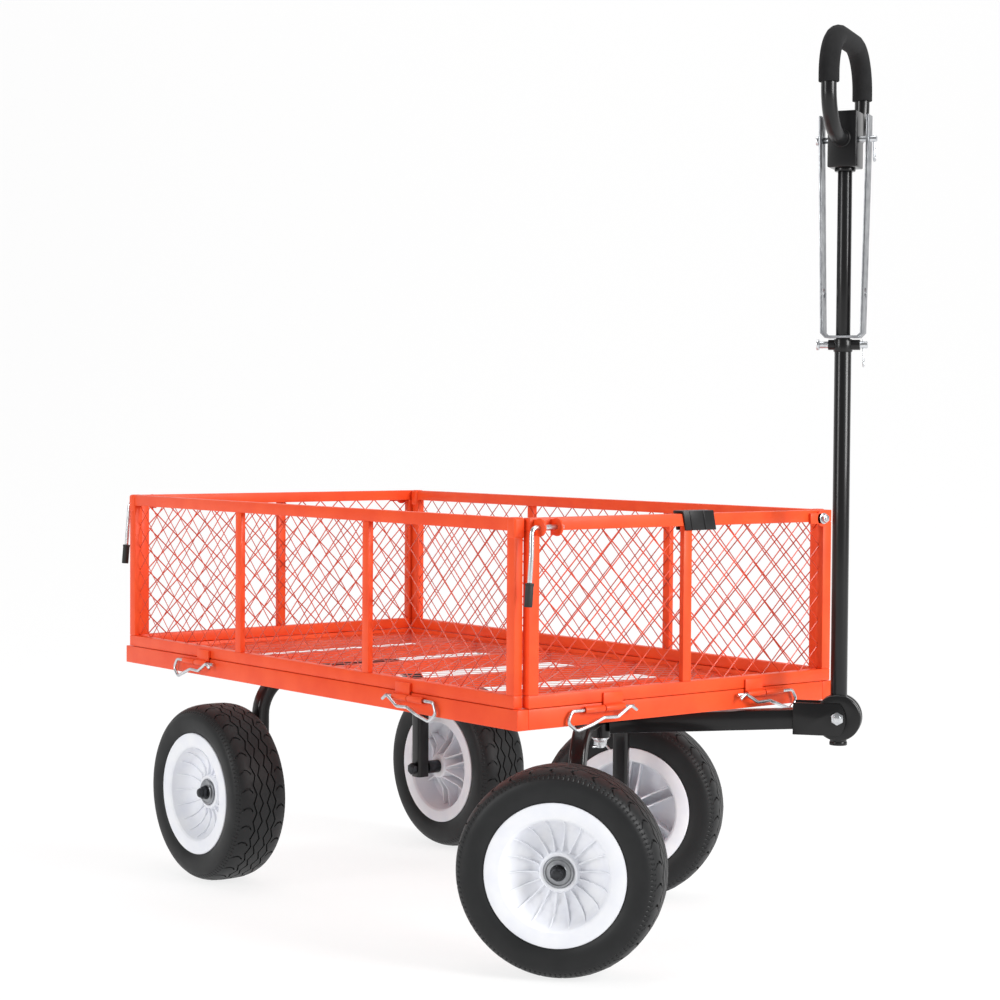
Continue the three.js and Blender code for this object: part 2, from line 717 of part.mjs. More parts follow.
function headBlock() {
  const block = box([-25, -24, HEAD_BOTTOM], [25, 24, HEAD_TOP]);
  const flange = rod([0, 0, HEAD_BOTTOM - 6], [0, 0, HEAD_BOTTOM + 1], 17, 20);
  const pinBore = rod([0, 40, HEAD_PIN_Z], [0, -40, HEAD_PIN_Z], 5.4, 14);
  return join(block, flange).subtract(pinBore);
}

const GRIP_CORNERS = [
  [-25 - GAP, 0, HEAD_PIN_Z],
  [-GRIP_HALF, 0, HEAD_PIN_Z],
  [-GRIP_HALF, 0, GRIP_TOP],
  [GRIP_HALF, 0, GRIP_TOP],
  [GRIP_HALF, 0, HEAD_PIN_Z],
  [25 + GAP, 0, HEAD_PIN_Z],
];
const GRIP_BEND = 70;
const gripLoop = () => sweep(bent(GRIP_CORNERS, GRIP_BEND, 5), GRIP_TUBE_R, 10);
function foamGrip() {
  const over = [
    [-GRIP_HALF, 0, FOAM_END_Z],
    ...GRIP_CORNERS.slice(2, 4),
    [GRIP_HALF, 0, FOAM_END_Z],
  ];
  return sweep(bent(over, GRIP_BEND, 5), FOAM_R, 10, GRIP_TUBE_R + 1);
}

// A flat steel U: two arms on the head's pin, joined by a foot that is notched round the pole.
function towStrap() {
  const [top, bottom, knee] = [41, 35, 8];
  const outer = [
    [-top, HEAD_TOP - 6],
    [-top, HEAD_PIN_Z],
    [-bottom, STRAP_BOTTOM + knee],
    [-bottom + knee, STRAP_BOTTOM],
    [bottom - knee, STRAP_BOTTOM],
    [bottom, STRAP_BOTTOM + knee],
    [top, HEAD_PIN_Z],
    [top, HEAD_TOP - 6],
  ];
  const inner = [
    [top - STRAP_T, HEAD_TOP - 6],
    [top - STRAP_T, HEAD_PIN_Z],
    [bottom - STRAP_T, STRAP_BOTTOM + knee + 1],
    [bottom - knee - 1, STRAP_BOTTOM + STRAP_T],
    [-bottom + knee + 1, STRAP_BOTTOM + STRAP_T],
    [-bottom + STRAP_T, STRAP_BOTTOM + knee + 1],
    [-top + STRAP_T, HEAD_PIN_Z],
    [-top + STRAP_T, HEAD_TOP - 6],
  ];
  const strip = plate([...outer, ...inner], STRAP_W).rotate([90, 0, 0]).rotate([0, 0, 90]);
  const across = (z, r) => rod([0, 60, z], [0, -60, z], r, 16);
  const notch = join(
    rod([0, 0, STRAP_BOTTOM - 5], [0, 0, STRAP_BOTTOM + 10], UPPER_R + 1.5, 20),
    box(
      [0, -UPPER_R - 1.5, STRAP_BOTTOM - 5],
      [STRAP_W, UPPER_R + 1.5, STRAP_BOTTOM + 10],
    ),
  );
  return strip
    .subtract(across(HEAD_PIN_Z, 5.5))
    .subtract(across(TOW_HOLE_Z, 8))
    .subtract(notch);
}

const STRAP_CLIP_Y = -47;
head.add(
  mesh("head_block", headBlock(), BLACK),
  mesh("grip_loop", gripLoop(), BLACK),
  mesh("foam_grip", foamGrip(), FOAM),
  mesh("strap_pin", clipPin(HEAD_PIN_Z, 5, 48, -52, 8, STRAP_CLIP_Y), ZINC),
  mesh("strap_pin_clip", wireClip(HEAD_PIN_Z, STRAP_CLIP_Y), ZINC),
  mesh("tow_strap", towStrap(), ZINC),
);

// ---- Origin at the bottom centre of the bounding box ----
cart.updateMatrixWorld(true);
const bounds = new THREE.Box3().setFromObject(cart, true);
const middle = bounds.getCenter(new THREE.Vector3());
cart.position.set(-middle.x, -middle.y, -bounds.min.z);

export default cart;
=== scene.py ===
# %% [markdown]
# # A mesh garden cart
# Four wheels with air tyres carry an expanded-metal deck. Its four sides fold down on loose pins, the
# front axle steers, and a tall drawbar ends in a foam-covered loop. This notebook finishes each piece
# over a fixed model of the cart, which also says which pieces move together.

# %% Load the fixed model
import json
import math
import bpy
import bmesh
from mathutils import Matrix, Quaternion, Vector


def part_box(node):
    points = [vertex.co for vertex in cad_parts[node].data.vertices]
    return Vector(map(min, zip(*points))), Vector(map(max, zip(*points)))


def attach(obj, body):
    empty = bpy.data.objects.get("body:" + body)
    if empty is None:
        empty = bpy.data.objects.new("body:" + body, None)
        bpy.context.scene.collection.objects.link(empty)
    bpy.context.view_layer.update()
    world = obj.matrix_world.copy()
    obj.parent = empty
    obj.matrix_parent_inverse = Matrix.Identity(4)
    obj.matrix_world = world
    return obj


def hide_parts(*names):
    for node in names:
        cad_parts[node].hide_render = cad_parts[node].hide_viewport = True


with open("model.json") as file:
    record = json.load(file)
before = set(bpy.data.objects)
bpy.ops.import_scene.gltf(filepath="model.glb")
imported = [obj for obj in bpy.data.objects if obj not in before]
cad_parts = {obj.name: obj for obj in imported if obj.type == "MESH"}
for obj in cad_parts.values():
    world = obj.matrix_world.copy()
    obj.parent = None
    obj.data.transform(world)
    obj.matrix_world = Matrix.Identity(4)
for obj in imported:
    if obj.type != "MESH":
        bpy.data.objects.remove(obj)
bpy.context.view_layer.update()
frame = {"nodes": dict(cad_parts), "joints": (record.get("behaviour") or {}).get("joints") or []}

MM = 0.001
JOINTS = {joint["name"]: joint for joint in frame["joints"]}

# %% [markdown]
# ## Places
# Every piece is drawn in millimetres in a simple frame of its own, such as a panel lying along X, and
# is then carried to its place by one matrix. The places are read from the model: the deck's middle
# from its box, and the kingpin, knee and wheels from their joints.


# %% Where the pieces stand
def standing(origin, across):
    """The place at a point on the ground plan whose X axis runs along across."""
    x = Vector(across).normalized()
    z = Vector((0, 0, 1))
    turn = Matrix((x, z.cross(x), z)).transposed().to_4x4()
    return Matrix.Translation(origin) @ turn


def plan(joint):
    """A joint's place seen from above, on the ground."""
    x, y, _ = JOINTS[joint]["pos_m"]
    return Vector((x, y, 0))


low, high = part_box("deck_frame")
deck_middle = Vector(((low.x + high.x) / 2, (low.y + high.y) / 2, 0))
axle_way = Vector(JOINTS["knee_fold"]["axis"])
strap_way = Vector(JOINTS["strap_swing"]["axis"])
head_way = Vector((strap_way.y, -strap_way.x, 0))

DECK = Matrix.Translation(deck_middle)
STEERED = standing(plan("steer"), axle_way)
POLE = standing(plan("knee_fold"), axle_way)
HEAD = standing(plan("knee_fold"), head_way)
print("drawbar turned", round(math.degrees(math.atan2(axle_way.y, axle_way.x)), 1), "degrees")

# %% [markdown]
# ## Camera, floor and light
# The cart is seen a little from above, from its front left, through a long lens that keeps its posts
# nearly upright. It stands on a pale floor that rises behind it in one curve, so there is no horizon.
# One large soft light stands in front, and weaker ones to the left and overhead. A dim sky and the
# floor's own glow fill the shade.

# %% Camera
EYE = Vector((-2464.9, -3214.1, 861.3)) * MM
YAW, PITCH, ROLL = [math.radians(a) for a in (38.58, -1.987, 0.388)]
forward = Vector((math.sin(YAW) * math.cos(PITCH), math.cos(YAW) * math.cos(PITCH), math.sin(PITCH)))
level = Vector((math.cos(YAW), -math.sin(YAW), 0))
upward = level.cross(forward)
right = level * math.cos(ROLL) + upward * math.sin(ROLL)
upward = upward * math.cos(ROLL) - level * math.sin(ROLL)

lens = bpy.data.cameras.new("camera")
lens.sensor_width = 36
lens.lens = 79.87
lens.clip_end = 60
camera = bpy.data.objects.new("camera", lens)
bpy.context.scene.collection.objects.link(camera)
facing = Matrix((right, upward, -forward)).transposed().to_4x4()
camera.matrix_world = Matrix.Translation(deck_middle + EYE) @ facing
bpy.context.scene.camera = camera
print("camera", [round(v, 3) for v in camera.location])


# %% [markdown]
# ## Small tools for materials
# Colours are given as the sRGB hex values that a paint card or a picture shows, and one function turns
# them into the linear numbers that light is worked out in. One more function adds a node, sets it and
# links it. Patterns are measured in millimetres of the real surface.


# %% Colour and node helpers
def hexed(text):
    """An sRGB hex colour as linear red, green, blue and alpha."""
    parts = [int(text[i : i + 2], 16) / 255 for i in (1, 3, 5)]
    return [p / 12.92 if p <= 0.04045 else ((p + 0.055) / 1.055) ** 2.4 for p in parts] + [1]


def add(tree, kind, inputs, **settings):
    """Adds a shader node; an input is a number, a colour or another node's socket."""
    made = tree.nodes.new("ShaderNode" + kind)
    for name, value in settings.items():
        setattr(made, name, value)
    for name, value in inputs.items():
        if isinstance(value, bpy.types.NodeSocket):
            tree.links.new(value, made.inputs[name])
        else:
            made.inputs[name].default_value = value
    return made


def ramp(tree, factor, low, high, colours):
    """A colour ramp between two stops."""
    made = add(tree, "ValToRGB", {"Fac": factor})
    for stop, place, colour in zip(made.color_ramp.elements, (low, high), colours):
        stop.position = place
        stop.color = hexed(colour)
    return made.outputs["Color"]


def ready(name):
    """A new material with its tree, shader and object coordinates."""
    material = bpy.data.materials.new(name)
    material.use_nodes = True
    tree = material.node_tree
    shader = tree.nodes["Principled BSDF"]
    place = add(tree, "TexCoord", {}).outputs["Object"]
    return material, tree, shader, place


def noise(tree, place, size, detail=2.0, roughness=0.5):
    """Soft random blotches about size millimetres across."""
    inputs = {"Vector": place, "Scale": 1000 / size, "Detail": detail, "Roughness": roughness}
    return add(tree, "TexNoise", inputs).outputs["Fac"]


def bump(tree, height, depth, strength=1.0):
    """Turns a height from 0 to 1 into a relief depth millimetres deep."""
    inputs = {"Height": height, "Distance": depth * MM, "Strength": strength}
    return add(tree, "Bump", inputs).outputs["Normal"]


# %% [markdown]
# ## Powder-coated steel
# The deck and panels are steel tube sprayed with dry orange powder and baked. The melted powder leaves
# a satin skin with a faint orange peel a millimetre or two across, and the coat is a touch deeper where
# it pooled. The drawbar and axles have the same coat in black, with more gloss. A flat colour would
# look like card, so the peel goes into the bump and slow blotches into the colour and roughness.


# %% Powder coats
def powder_coat(name, thin, pooled, roughness, coat):
    material, tree, shader, place = ready(name)
    pools = noise(tree, place, 55, detail=3)
    colour = ramp(tree, pools, 0.35, 0.7, (thin, pooled))
    peel = noise(tree, place, 2.2, detail=2)
    limits = {"Value": pools, "To Min": roughness - 0.05, "To Max": roughness + 0.07}
    spread = add(tree, "MapRange", limits)
    tree.links.new(colour, shader.inputs["Base Color"])
    tree.links.new(spread.outputs["Result"], shader.inputs["Roughness"])
    tree.links.new(bump(tree, peel, 0.05, 0.6), shader.inputs["Normal"])
    shader.inputs["Coat Weight"].default_value = coat
    shader.inputs["Coat Roughness"].default_value = 0.12
    shader.inputs["Specular IOR Level"].default_value = 0.3
    return material


ORANGE = powder_coat("powder_coated_steel_orange", "#F45322", "#EC481B", 0.45, 0.05)
# The sheet has the frame's powder coat painted darker. This is painted shade for its thin strands, whose
# slit faces turn away from the light.
SHEET_COAT_WITH_PAINTED_SHADE = powder_coat("powder_coated_steel_sheet_painted_shade", "#D8431F", "#B93216", 0.4, 0.2)
BLACK = powder_coat("powder_coated_steel_black", "#131314", "#0E0E0F", 0.3, 0.25)
print("coats:", ORANGE.name, SHEET_COAT_WITH_PAINTED_SHADE.name, BLACK.name)

# %% [markdown]
# ## Zinc-plated steel
# Pins, bolts and the strap are bright steel with a thin skin of zinc. The plating bath leaves fine drawn
# lines along the wire and slow cloudy patches, which break up an otherwise clean mirror. The strap and
# the hub bearings take a darker copy of the zinc, whose colour is painted shade.


# %% Zinc
def zinc_plate(name, light, dark, roughness):
    material, tree, shader, place = ready(name)
    clouds = noise(tree, place, 14, detail=4)
    drawn = add(tree, "Mapping", {"Vector": place, "Scale": (1, 1, 0.06)}).outputs["Vector"]
    lines = noise(tree, drawn, 0.8, detail=1)
    limits = {"Value": clouds, "To Min": roughness - 0.08, "To Max": roughness + 0.12}
    spread = add(tree, "MapRange", limits)
    tree.links.new(ramp(tree, clouds, 0.3, 0.7, (light, dark)), shader.inputs["Base Color"])
    tree.links.new(spread.outputs["Result"], shader.inputs["Roughness"])
    tree.links.new(bump(tree, lines, 0.03, 0.5), shader.inputs["Normal"])
    shader.inputs["Metallic"].default_value = 1
    return material


ZINC = zinc_plate("zinc_plated_steel", "#E6E8EA", "#C2C5C9", 0.27)
# A darker copy of the zinc for the strap and hub bearings. Its colour is painted shade, standing in for
# dimmer reflections.
ZINC_WITH_PAINTED_SHADE = zinc_plate("zinc_plated_steel_painted_shade", "#A9ABAE", "#8D8F93", 0.36)
print("zinc:", ZINC.name, ZINC_WITH_PAINTED_SHADE.name)

# %% [markdown]
# ## Rubber, foam and plastic
# The tyres are moulded from carbon-black rubber, almost black with a dull sheen. The grip is PU foam:
# matt and covered in tiny closed cells, drawn here a little coarser than life so that they show. The
# rims are white moulded polypropylene, smooth, with a trace of flow in their gloss.


# %% Rubber, foam and plastic
def dull(name, light, dark, roughness, grain, depth):
    material, tree, shader, place = ready(name)
    blotch = noise(tree, place, 30, detail=4)
    fine = noise(tree, place, grain, detail=2, roughness=0.6)
    limits = {"Value": blotch, "To Min": roughness - 0.07, "To Max": roughness + 0.07}
    spread = add(tree, "MapRange", limits)
    tree.links.new(ramp(tree, blotch, 0.3, 0.7, (light, dark)), shader.inputs["Base Color"])
    tree.links.new(spread.outputs["Result"], shader.inputs["Roughness"])
    tree.links.new(bump(tree, fine, depth, 0.7), shader.inputs["Normal"])
    shader.inputs["Specular IOR Level"].default_value = 0.35
    return material


def closed_cell_foam(name):
    material, tree, shader, place = ready(name)
    cell_size = 1.1
    voronoi = add(tree, "TexVoronoi", {"Vector": place, "Scale": 1000 / cell_size}, feature="F1")
    cells = voronoi.outputs["Distance"]
    blotch = noise(tree, place, 18, detail=3)
    tree.links.new(ramp(tree, blotch, 0.3, 0.7, ("#1F1F20", "#171718")), shader.inputs["Base Color"])
    tree.links.new(bump(tree, cells, 0.25, 0.8), shader.inputs["Normal"])
    shader.inputs["Roughness"].default_value = 0.9
    shader.inputs["Specular IOR Level"].default_value = 0.3
    return material


TYRE = dull("carbon_black_rubber", "#1B1C1D", "#151617", 0.5, 1.6, 0.08)
WHITE = dull("moulded_polypropylene_white", "#F0F1F4", "#E8EAF1", 0.45, 3.0, 0.03)
PLASTIC = dull("moulded_polypropylene_black", "#1C1C1D", "#151516", 0.38, 1.2, 0.04)
SLEEVE = dull("dipped_rubber", "#303231", "#262827", 0.6, 1.0, 0.06)
FOAM = closed_cell_foam("closed_cell_PU_foam")
DARK_STEEL = zinc_plate("blackened_steel", "#4A4B4E", "#2E2F31", 0.4)
print("dull:", TYRE.name, WHITE.name, FOAM.name)

# %% [markdown]
# ## Tools for shaping
# A few small functions hold the moves that come again and again: lay a block or a rod down and round
# its edges, draw a section by pushing one point from corner to corner, spin it into a turned piece,
# or sweep a bar along a bent line. Each works in millimetres in the piece's own frame.


# %% Selecting and finishing
def let_go():
    """Deselects everything, because the next operator acts on all that is selected."""
    if bpy.context.object and bpy.context.object.mode != "OBJECT":
        bpy.ops.object.mode_set(mode="OBJECT")
    bpy.ops.object.select_all(action="DESELECT")


def take(piece):
    let_go()
    piece.select_set(True)
    bpy.context.view_layer.objects.active = piece


def finish_with(piece, kind, **settings):
    """Adds a modifier and applies it at once."""
    take(piece)
    modifier = piece.modifiers.new(kind.lower(), kind)
    for name, value in settings.items():
        setattr(modifier, name, value)
    bpy.ops.object.modifier_apply(modifier=modifier.name)
    return piece


def soften(piece, width, segments=2, angle=40):
    """Rounds the edges sharper than angle."""
    return finish_with(
        piece,
        "BEVEL",
        width=width * MM,
        segments=segments,
        limit_method="ANGLE",
        angle_limit=math.radians(angle),
    )


def merged(piece, outward=True):
    """Merges points that fall together and turns the faces outward."""
    take(piece)
    bpy.ops.object.mode_set(mode="EDIT")
    bpy.ops.mesh.select_all(action="SELECT")
    bpy.ops.mesh.remove_doubles(threshold=1e-5)
    if outward:
        bpy.ops.mesh.normals_make_consistent(inside=False)
    bpy.ops.object.mode_set(mode="OBJECT")
    return piece


def joined(name, pieces):
    take(pieces[0])
    for piece in pieces:
        piece.select_set(True)
    if len(pieces) > 1:
        bpy.ops.object.join()
    pieces[0].name = name
    return pieces[0]


def copied(piece, place):
    """A copy with a mesh of its own, carried to a place; a mirrored one keeps facing out."""
    twin = piece.copy()
    twin.data = piece.data.copy()
    bpy.context.scene.collection.objects.link(twin)
    twin.data.transform(place)
    if place.determinant() < 0:
        twin.data.flip_normals()
    return twin


# %% Blocks, rods and plates
def block(low, high, edge=1.2, segments=2):
    """A block between two corners, its edges rounded."""
    let_go()
    low, high = Vector(low) * MM, Vector(high) * MM
    bpy.ops.mesh.primitive_cube_add(size=1, location=(low + high) / 2)
    piece = bpy.context.object
    piece.scale = high - low
    bpy.ops.object.transform_apply(location=True, rotation=True, scale=True)
    return soften(piece, edge, segments) if edge else piece


def rod(start, end, radius, sides=40, edge=0.6):
    """A round or many-sided bar from one point to another, its rims broken."""
    let_go()
    start, end = Vector(start) * MM, Vector(end) * MM
    along = end - start
    bpy.ops.mesh.primitive_cylinder_add(
        vertices=sides,
        radius=radius * MM,
        depth=along.length,
        location=(start + end) / 2,
        rotation=along.to_track_quat("Z", "Y").to_euler(),
    )
    bpy.ops.object.transform_apply(location=True, rotation=True, scale=True)
    return soften(bpy.context.object, edge) if edge else bpy.context.object


def drawn(points, close=False):
    """An outline made by pushing one point from corner to corner."""
    let_go()
    points = [Vector(p) * MM for p in points]
    bpy.ops.mesh.primitive_plane_add(size=MM)
    piece = bpy.context.object
    bpy.ops.object.mode_set(mode="EDIT")
    bpy.ops.mesh.merge(type="CENTER")
    bpy.ops.transform.translate(value=points[0])
    for here, there in zip(points, points[1:] + points[:1] * close):
        bpy.ops.mesh.extrude_region_move(TRANSFORM_OT_translate={"value": there - here})
    if close:
        bpy.ops.mesh.select_all(action="SELECT")
        bpy.ops.mesh.remove_doubles(threshold=1e-5)
    bpy.ops.object.mode_set(mode="OBJECT")
    return piece


def plate(outline, thickness, edge=0.5):
    """A flat plate in the YZ plane, its thickness along X about x = 0."""
    piece = drawn([(-thickness / 2, y, z) for y, z in outline], close=True)
    bpy.ops.object.mode_set(mode="EDIT")
    bpy.ops.mesh.select_all(action="SELECT")
    bpy.ops.mesh.edge_face_add()
    bpy.ops.mesh.extrude_region_move(TRANSFORM_OT_translate={"value": (thickness * MM, 0, 0)})
    bpy.ops.object.mode_set(mode="OBJECT")
    merged(piece)
    return soften(piece, edge, angle=50) if edge else piece


# %% Turned pieces and bent bars
def turned(outline, steps=72, edge=0.0, close=True):
    """Spins a section of (radius, width) points about the X axis."""
    piece = drawn([(w, 0, r) for r, w in outline], close)
    bpy.ops.object.mode_set(mode="EDIT")
    bpy.ops.mesh.select_all(action="SELECT")
    bpy.ops.mesh.spin(steps=steps, angle=2 * math.pi, center=(0, 0, 0), axis=(1, 0, 0))
    bpy.ops.object.mode_set(mode="OBJECT")
    merged(piece)
    return soften(piece, edge, angle=35) if edge else piece


def bent(corners, bend, steps=6):
    """The points of a bar bent round each corner on a true arc."""
    p = [Vector(c) for c in corners]
    points = [p[0]]
    for before, at, after in zip(p, p[1:], p[2:]):
        back, on = (before - at).normalized(), (after - at).normalized()
        half = back.angle(on) / 2
        centre = at + (back + on).normalized() * bend / math.sin(half)
        spoke = at + back * bend / math.tan(half) - centre
        axle = back.cross(on)
        for i in range(steps + 1):
            points.append(centre + Quaternion(-axle, (math.pi - 2 * half) * i / steps) @ spoke)
    return points + [p[-1]]


def bar(points, radius, edge=0.6, section=None):
    """A round bar, or one of another section, swept along points."""
    piece = drawn(points)
    bpy.ops.object.convert(target="CURVE")
    curve = bpy.context.object.data
    curve.use_fill_caps = True
    if section:
        curve.bevel_mode = "OBJECT"
        curve.bevel_object = section
    else:
        curve.bevel_depth = radius * MM
        curve.bevel_resolution = 6
    bpy.ops.object.convert(target="MESH")
    piece = merged(bpy.context.object)
    return soften(piece, edge, angle=60) if edge else piece


# %% Giving a piece its place and finish
def show(piece, name, place, body, nodes, material, smooth=35):
    """Carries a piece to its place, paints it, and lets it move with its body in its node's stead."""
    piece.name = name
    piece.data.name = name
    piece.data.transform(place)
    if place.determinant() < 0:
        piece.data.flip_normals()
    take(piece)
    bpy.ops.object.shade_smooth_by_angle(angle=math.radians(smooth))
    piece.data.materials.clear()
    piece.data.materials.append(material)
    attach(piece, body)
    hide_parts(*nodes)
    return piece


# %% [markdown]
# ## Expanded metal
# The deck and sides are steel sheet, slit and pulled open so that it becomes one net of diamonds with
# no weave or weld. Modelling each strand by hand would take hours, and a see-through picture would
# have no thickness. Here a grid is poked, which puts a point in each square, and its old square edges
# are dissolved, which leaves diamonds. A wireframe modifier then gives each edge a real strand.


# %% Expanded sheet
def expanded_sheet(width, height, diamond=(45, 40), strand=2.4, flat=0.6):
    """A net of diamonds; flat is a strand's depth over its width."""
    let_go()
    across, up = round(width / diamond[0]), round(height / diamond[1])
    bpy.ops.mesh.primitive_grid_add(x_subdivisions=across, y_subdivisions=up, size=1)
    piece = bpy.context.object
    piece.scale = (width * MM, height * MM, 1)
    bpy.ops.object.transform_apply(location=True, rotation=True, scale=True)
    bpy.ops.object.mode_set(mode="EDIT")
    bpy.ops.mesh.select_all(action="SELECT")
    bpy.ops.mesh.poke()
    net = bmesh.from_edit_mesh(piece.data)
    bpy.ops.mesh.select_all(action="DESELECT")
    for edge in net.edges:
        run = edge.verts[1].co - edge.verts[0].co
        square = min(abs(run.x), abs(run.y)) < 1e-6
        edge.select_set(square and not edge.is_boundary)
    bmesh.update_edit_mesh(piece.data)
    bpy.ops.mesh.dissolve_edges(use_verts=False)
    bpy.ops.object.mode_set(mode="OBJECT")
    finish_with(piece, "WIREFRAME", thickness=strand * MM, use_boundary=True, use_even_offset=True)
    piece.data.transform(Matrix.Diagonal((1, 1, flat, 1)))
    return piece


sheet_low, sheet_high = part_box("deck_mesh")
FLOOR_Z = (sheet_low.z + sheet_high.z) / 2 / MM
floor_size = [(sheet_high[i] - sheet_low[i]) / MM + 4 for i in (0, 1)]
floor_sheet = expanded_sheet(*floor_size, strand=2.8, flat=0.35)
floor_place = DECK @ Matrix.Translation((0, 0, FLOOR_Z * MM))
show(floor_sheet, "deck_sheet", floor_place, "deck", ["deck_mesh"], SHEET_COAT_WITH_PAINTED_SHADE)
print("deck sheet", len(floor_sheet.data.polygons), "faces")

# %% [markdown]
# ## Hinges
# Each side turns on two loose pins. A short tube is welded to the deck rail and another to the panel's
# tab, and a bent wire passes through both. Its tail comes back below and springs over its own end like
# a hairpin, so it can be pulled by hand to take the side off. A hinge's own frame has X along the pin
# and Y into the cart, and is turned or mirrored onto each side.

# %% Knuckle and pin
HINGE_OUT = 6.5
HINGE_Z = JOINTS["fold_left"]["pos_m"][2] / MM
KNUCKLE = [(3.4, 1), (5.5, 1), (5.5, 41), (3.4, 41)]
deck_knuckle = joined(
    "deck_knuckle",
    [turned(KNUCKLE, 32, 0.4), block((1, 1, -5.5), (41, HINGE_OUT + 1, -0.5), 0.6)],
)


def panel_knuckle(setback):
    tube = turned([(r, -w) for r, w in KNUCKLE], 32, 0.4)
    strip = block((-41, 2.5, 0), (-1, 5.5, 24), 0.8)
    pad = block((-40.8, 2.6, 10), (-1.2, HINGE_OUT + setback + 1, 23.8), 0.8)
    return joined("panel_knuckle", [tube, strip, pad])


PIN_LINE = [
    (-62, 0, 0),
    (66, 0, 0),
    (76, -1, -17),
    (58, -3, -31),
    (30, -7.5, -22),
    (6, -7.5, -13),
    (-22, -7.5, -14),
    (-50, -7.5, 2),
    (-62, -7.5, -6),
]
hinge_pin = bar(bent(PIN_LINE, 8.5, 9), 2.75)
print("hinge pin", len(hinge_pin.data.polygons), "faces")

# %% The eight hinges
END_HINGE_X, SIDE_HINGE_Y = 177, 333
SIDE_AXIS = abs(JOINTS["fold_right"]["pos_m"][0]) / MM
END_AXIS = (JOINTS["fold_rear"]["pos_m"][1] - deck_middle.y) / MM
HINGES = {
    "front_left": (-END_HINGE_X, -END_AXIS, 0, -1),
    "front_right": (END_HINGE_X, -END_AXIS, 0, 1),
    "rear_left": (-END_HINGE_X, END_AXIS, 180, 1),
    "rear_right": (END_HINGE_X, END_AXIS, 180, -1),
    "left_front": (-SIDE_AXIS, -SIDE_HINGE_Y, -90, 1),
    "left_rear": (-SIDE_AXIS, SIDE_HINGE_Y, -90, -1),
    "right_front": (SIDE_AXIS, -SIDE_HINGE_Y, 90, -1),
    "right_rear": (SIDE_AXIS, SIDE_HINGE_Y, 90, 1),
}


def hinge_place(name):
    x, y, turn, flip = HINGES[name]
    spot = Matrix.Translation((x * MM, y * MM, HINGE_Z * MM))
    return spot @ Matrix.Rotation(math.radians(turn), 4, "Z") @ Matrix.Scale(flip, 4, (1, 0, 0))


for name in HINGES:
    pin = copied(hinge_pin, DECK @ hinge_place(name))
    show(pin, "pin_" + name, Matrix.Identity(4), "deck", ["hinge_pin_" + name], ZINC, 50)
bpy.data.objects.remove(hinge_pin)

# %% [markdown]
# ## Deck frame
# The deck is a ladder of rectangular tube: two long rails, two end rails and five cross bars that hold
# the sheet up. The rails are butted and welded, then ground flush, so only a fine line shows where
# they meet. Separate blocks with a small rounding give that line for nothing.

# %% Deck frame
HALF_W, HALF_L, RAIL_T = 693 / 2, 1210 / 2, 22
RAIL_BOTTOM, RAIL_TOP, CROSS_TOP = 392, 424, 415
KINGPIN_Y = (plan("steer").y - deck_middle.y) / MM
REAR_AXLE_Y = (plan("wheel_spin_rear_left").y - deck_middle.y) / MM
inner_w, inner_l = HALF_W - RAIL_T, HALF_L - RAIL_T
rails = [
    block((s * HALF_W, -HALF_L, RAIL_BOTTOM), (s * inner_w, HALF_L, RAIL_TOP)) for s in (-1, 1)
]
rails += [
    block((-inner_w, s * HALF_L, RAIL_BOTTOM), (inner_w, s * inner_l, RAIL_TOP)) for s in (-1, 1)
]
for y in (KINGPIN_Y - 55, KINGPIN_Y + 55, -120, 130, REAR_AXLE_Y):
    rails.append(block((-inner_w, y - 10, RAIL_BOTTOM), (inner_w, y + 10, CROSS_TOP)))
rails += [copied(deck_knuckle, hinge_place(name)) for name in HINGES]
deck_frame = joined("deck_rails", rails)
show(deck_frame, "deck_rails", DECK, "deck", ["deck_frame"], ORANGE)
print("deck frame", len(deck_frame.data.polygons), "faces")

# %% [markdown]
# ## Folding sides
# A side is a ring of square tube with thinner flat bars between its bays, and the expanded sheet is
# welded behind those bars. The long sides carry a rounded sleeve on each top corner. The short sides
# carry the corner latch: two round ears with a bent rod between them, and at the other end one round
# lug with a bolt. A panel's own frame has X along it and its outer face at y = 0.

# %% Panel ring
PANEL_BOTTOM, PANEL_TOP, TUBE, DEPTH, FLAT = 425, 717, 20, 16, 10
END_OUT, SIDE_OUT, SIDE_BAR = 605, 345, 199


def panel_ring(start, end, bars):
    low_rail = block((start, 0, PANEL_BOTTOM), (end, DEPTH, PANEL_BOTTOM + TUBE))
    top_rail = block((start, 0, PANEL_TOP - TUBE), (end, DEPTH, PANEL_TOP))
    inner_low, inner_top = PANEL_BOTTOM + TUBE, PANEL_TOP - TUBE
    posts = [block((x, 0, inner_low), (x + TUBE, DEPTH, inner_top)) for x in (start, end - TUBE)]
    between = [block((x - 9, 0, inner_low), (x + 9, FLAT, inner_top), 1) for x in bars]
    return [low_rail, top_rail] + posts + between


def panel_net(start, end):
    net = expanded_sheet(end - start - 2 * TUBE + 4, PANEL_TOP - PANEL_BOTTOM - 2 * TUBE + 4)
    middle = ((start + end) / 2 * MM, (FLAT + 1.3) * MM, (PANEL_TOP + PANEL_BOTTOM) / 2 * MM)
    net.data.transform(Matrix.Translation(middle) @ Matrix.Rotation(math.radians(90), 4, "X"))
    return net


# %% Corner sleeve, latch ears and lug
SLEEVE_BOTTOM, SLEEVE_TOP = 685, 718


def corner_sleeve(x, side):
    end = x + side * 1.5
    low_x, high_x = sorted((end, end - side * 21))
    return block((low_x, -2, SLEEVE_BOTTOM), (high_x, 19.5, SLEEVE_TOP), 5, 5)


LATCH_Z, LATCH_OUT, EAR_R = 703, 13, 14
EARS, LUG_X = (-316, -282), 316


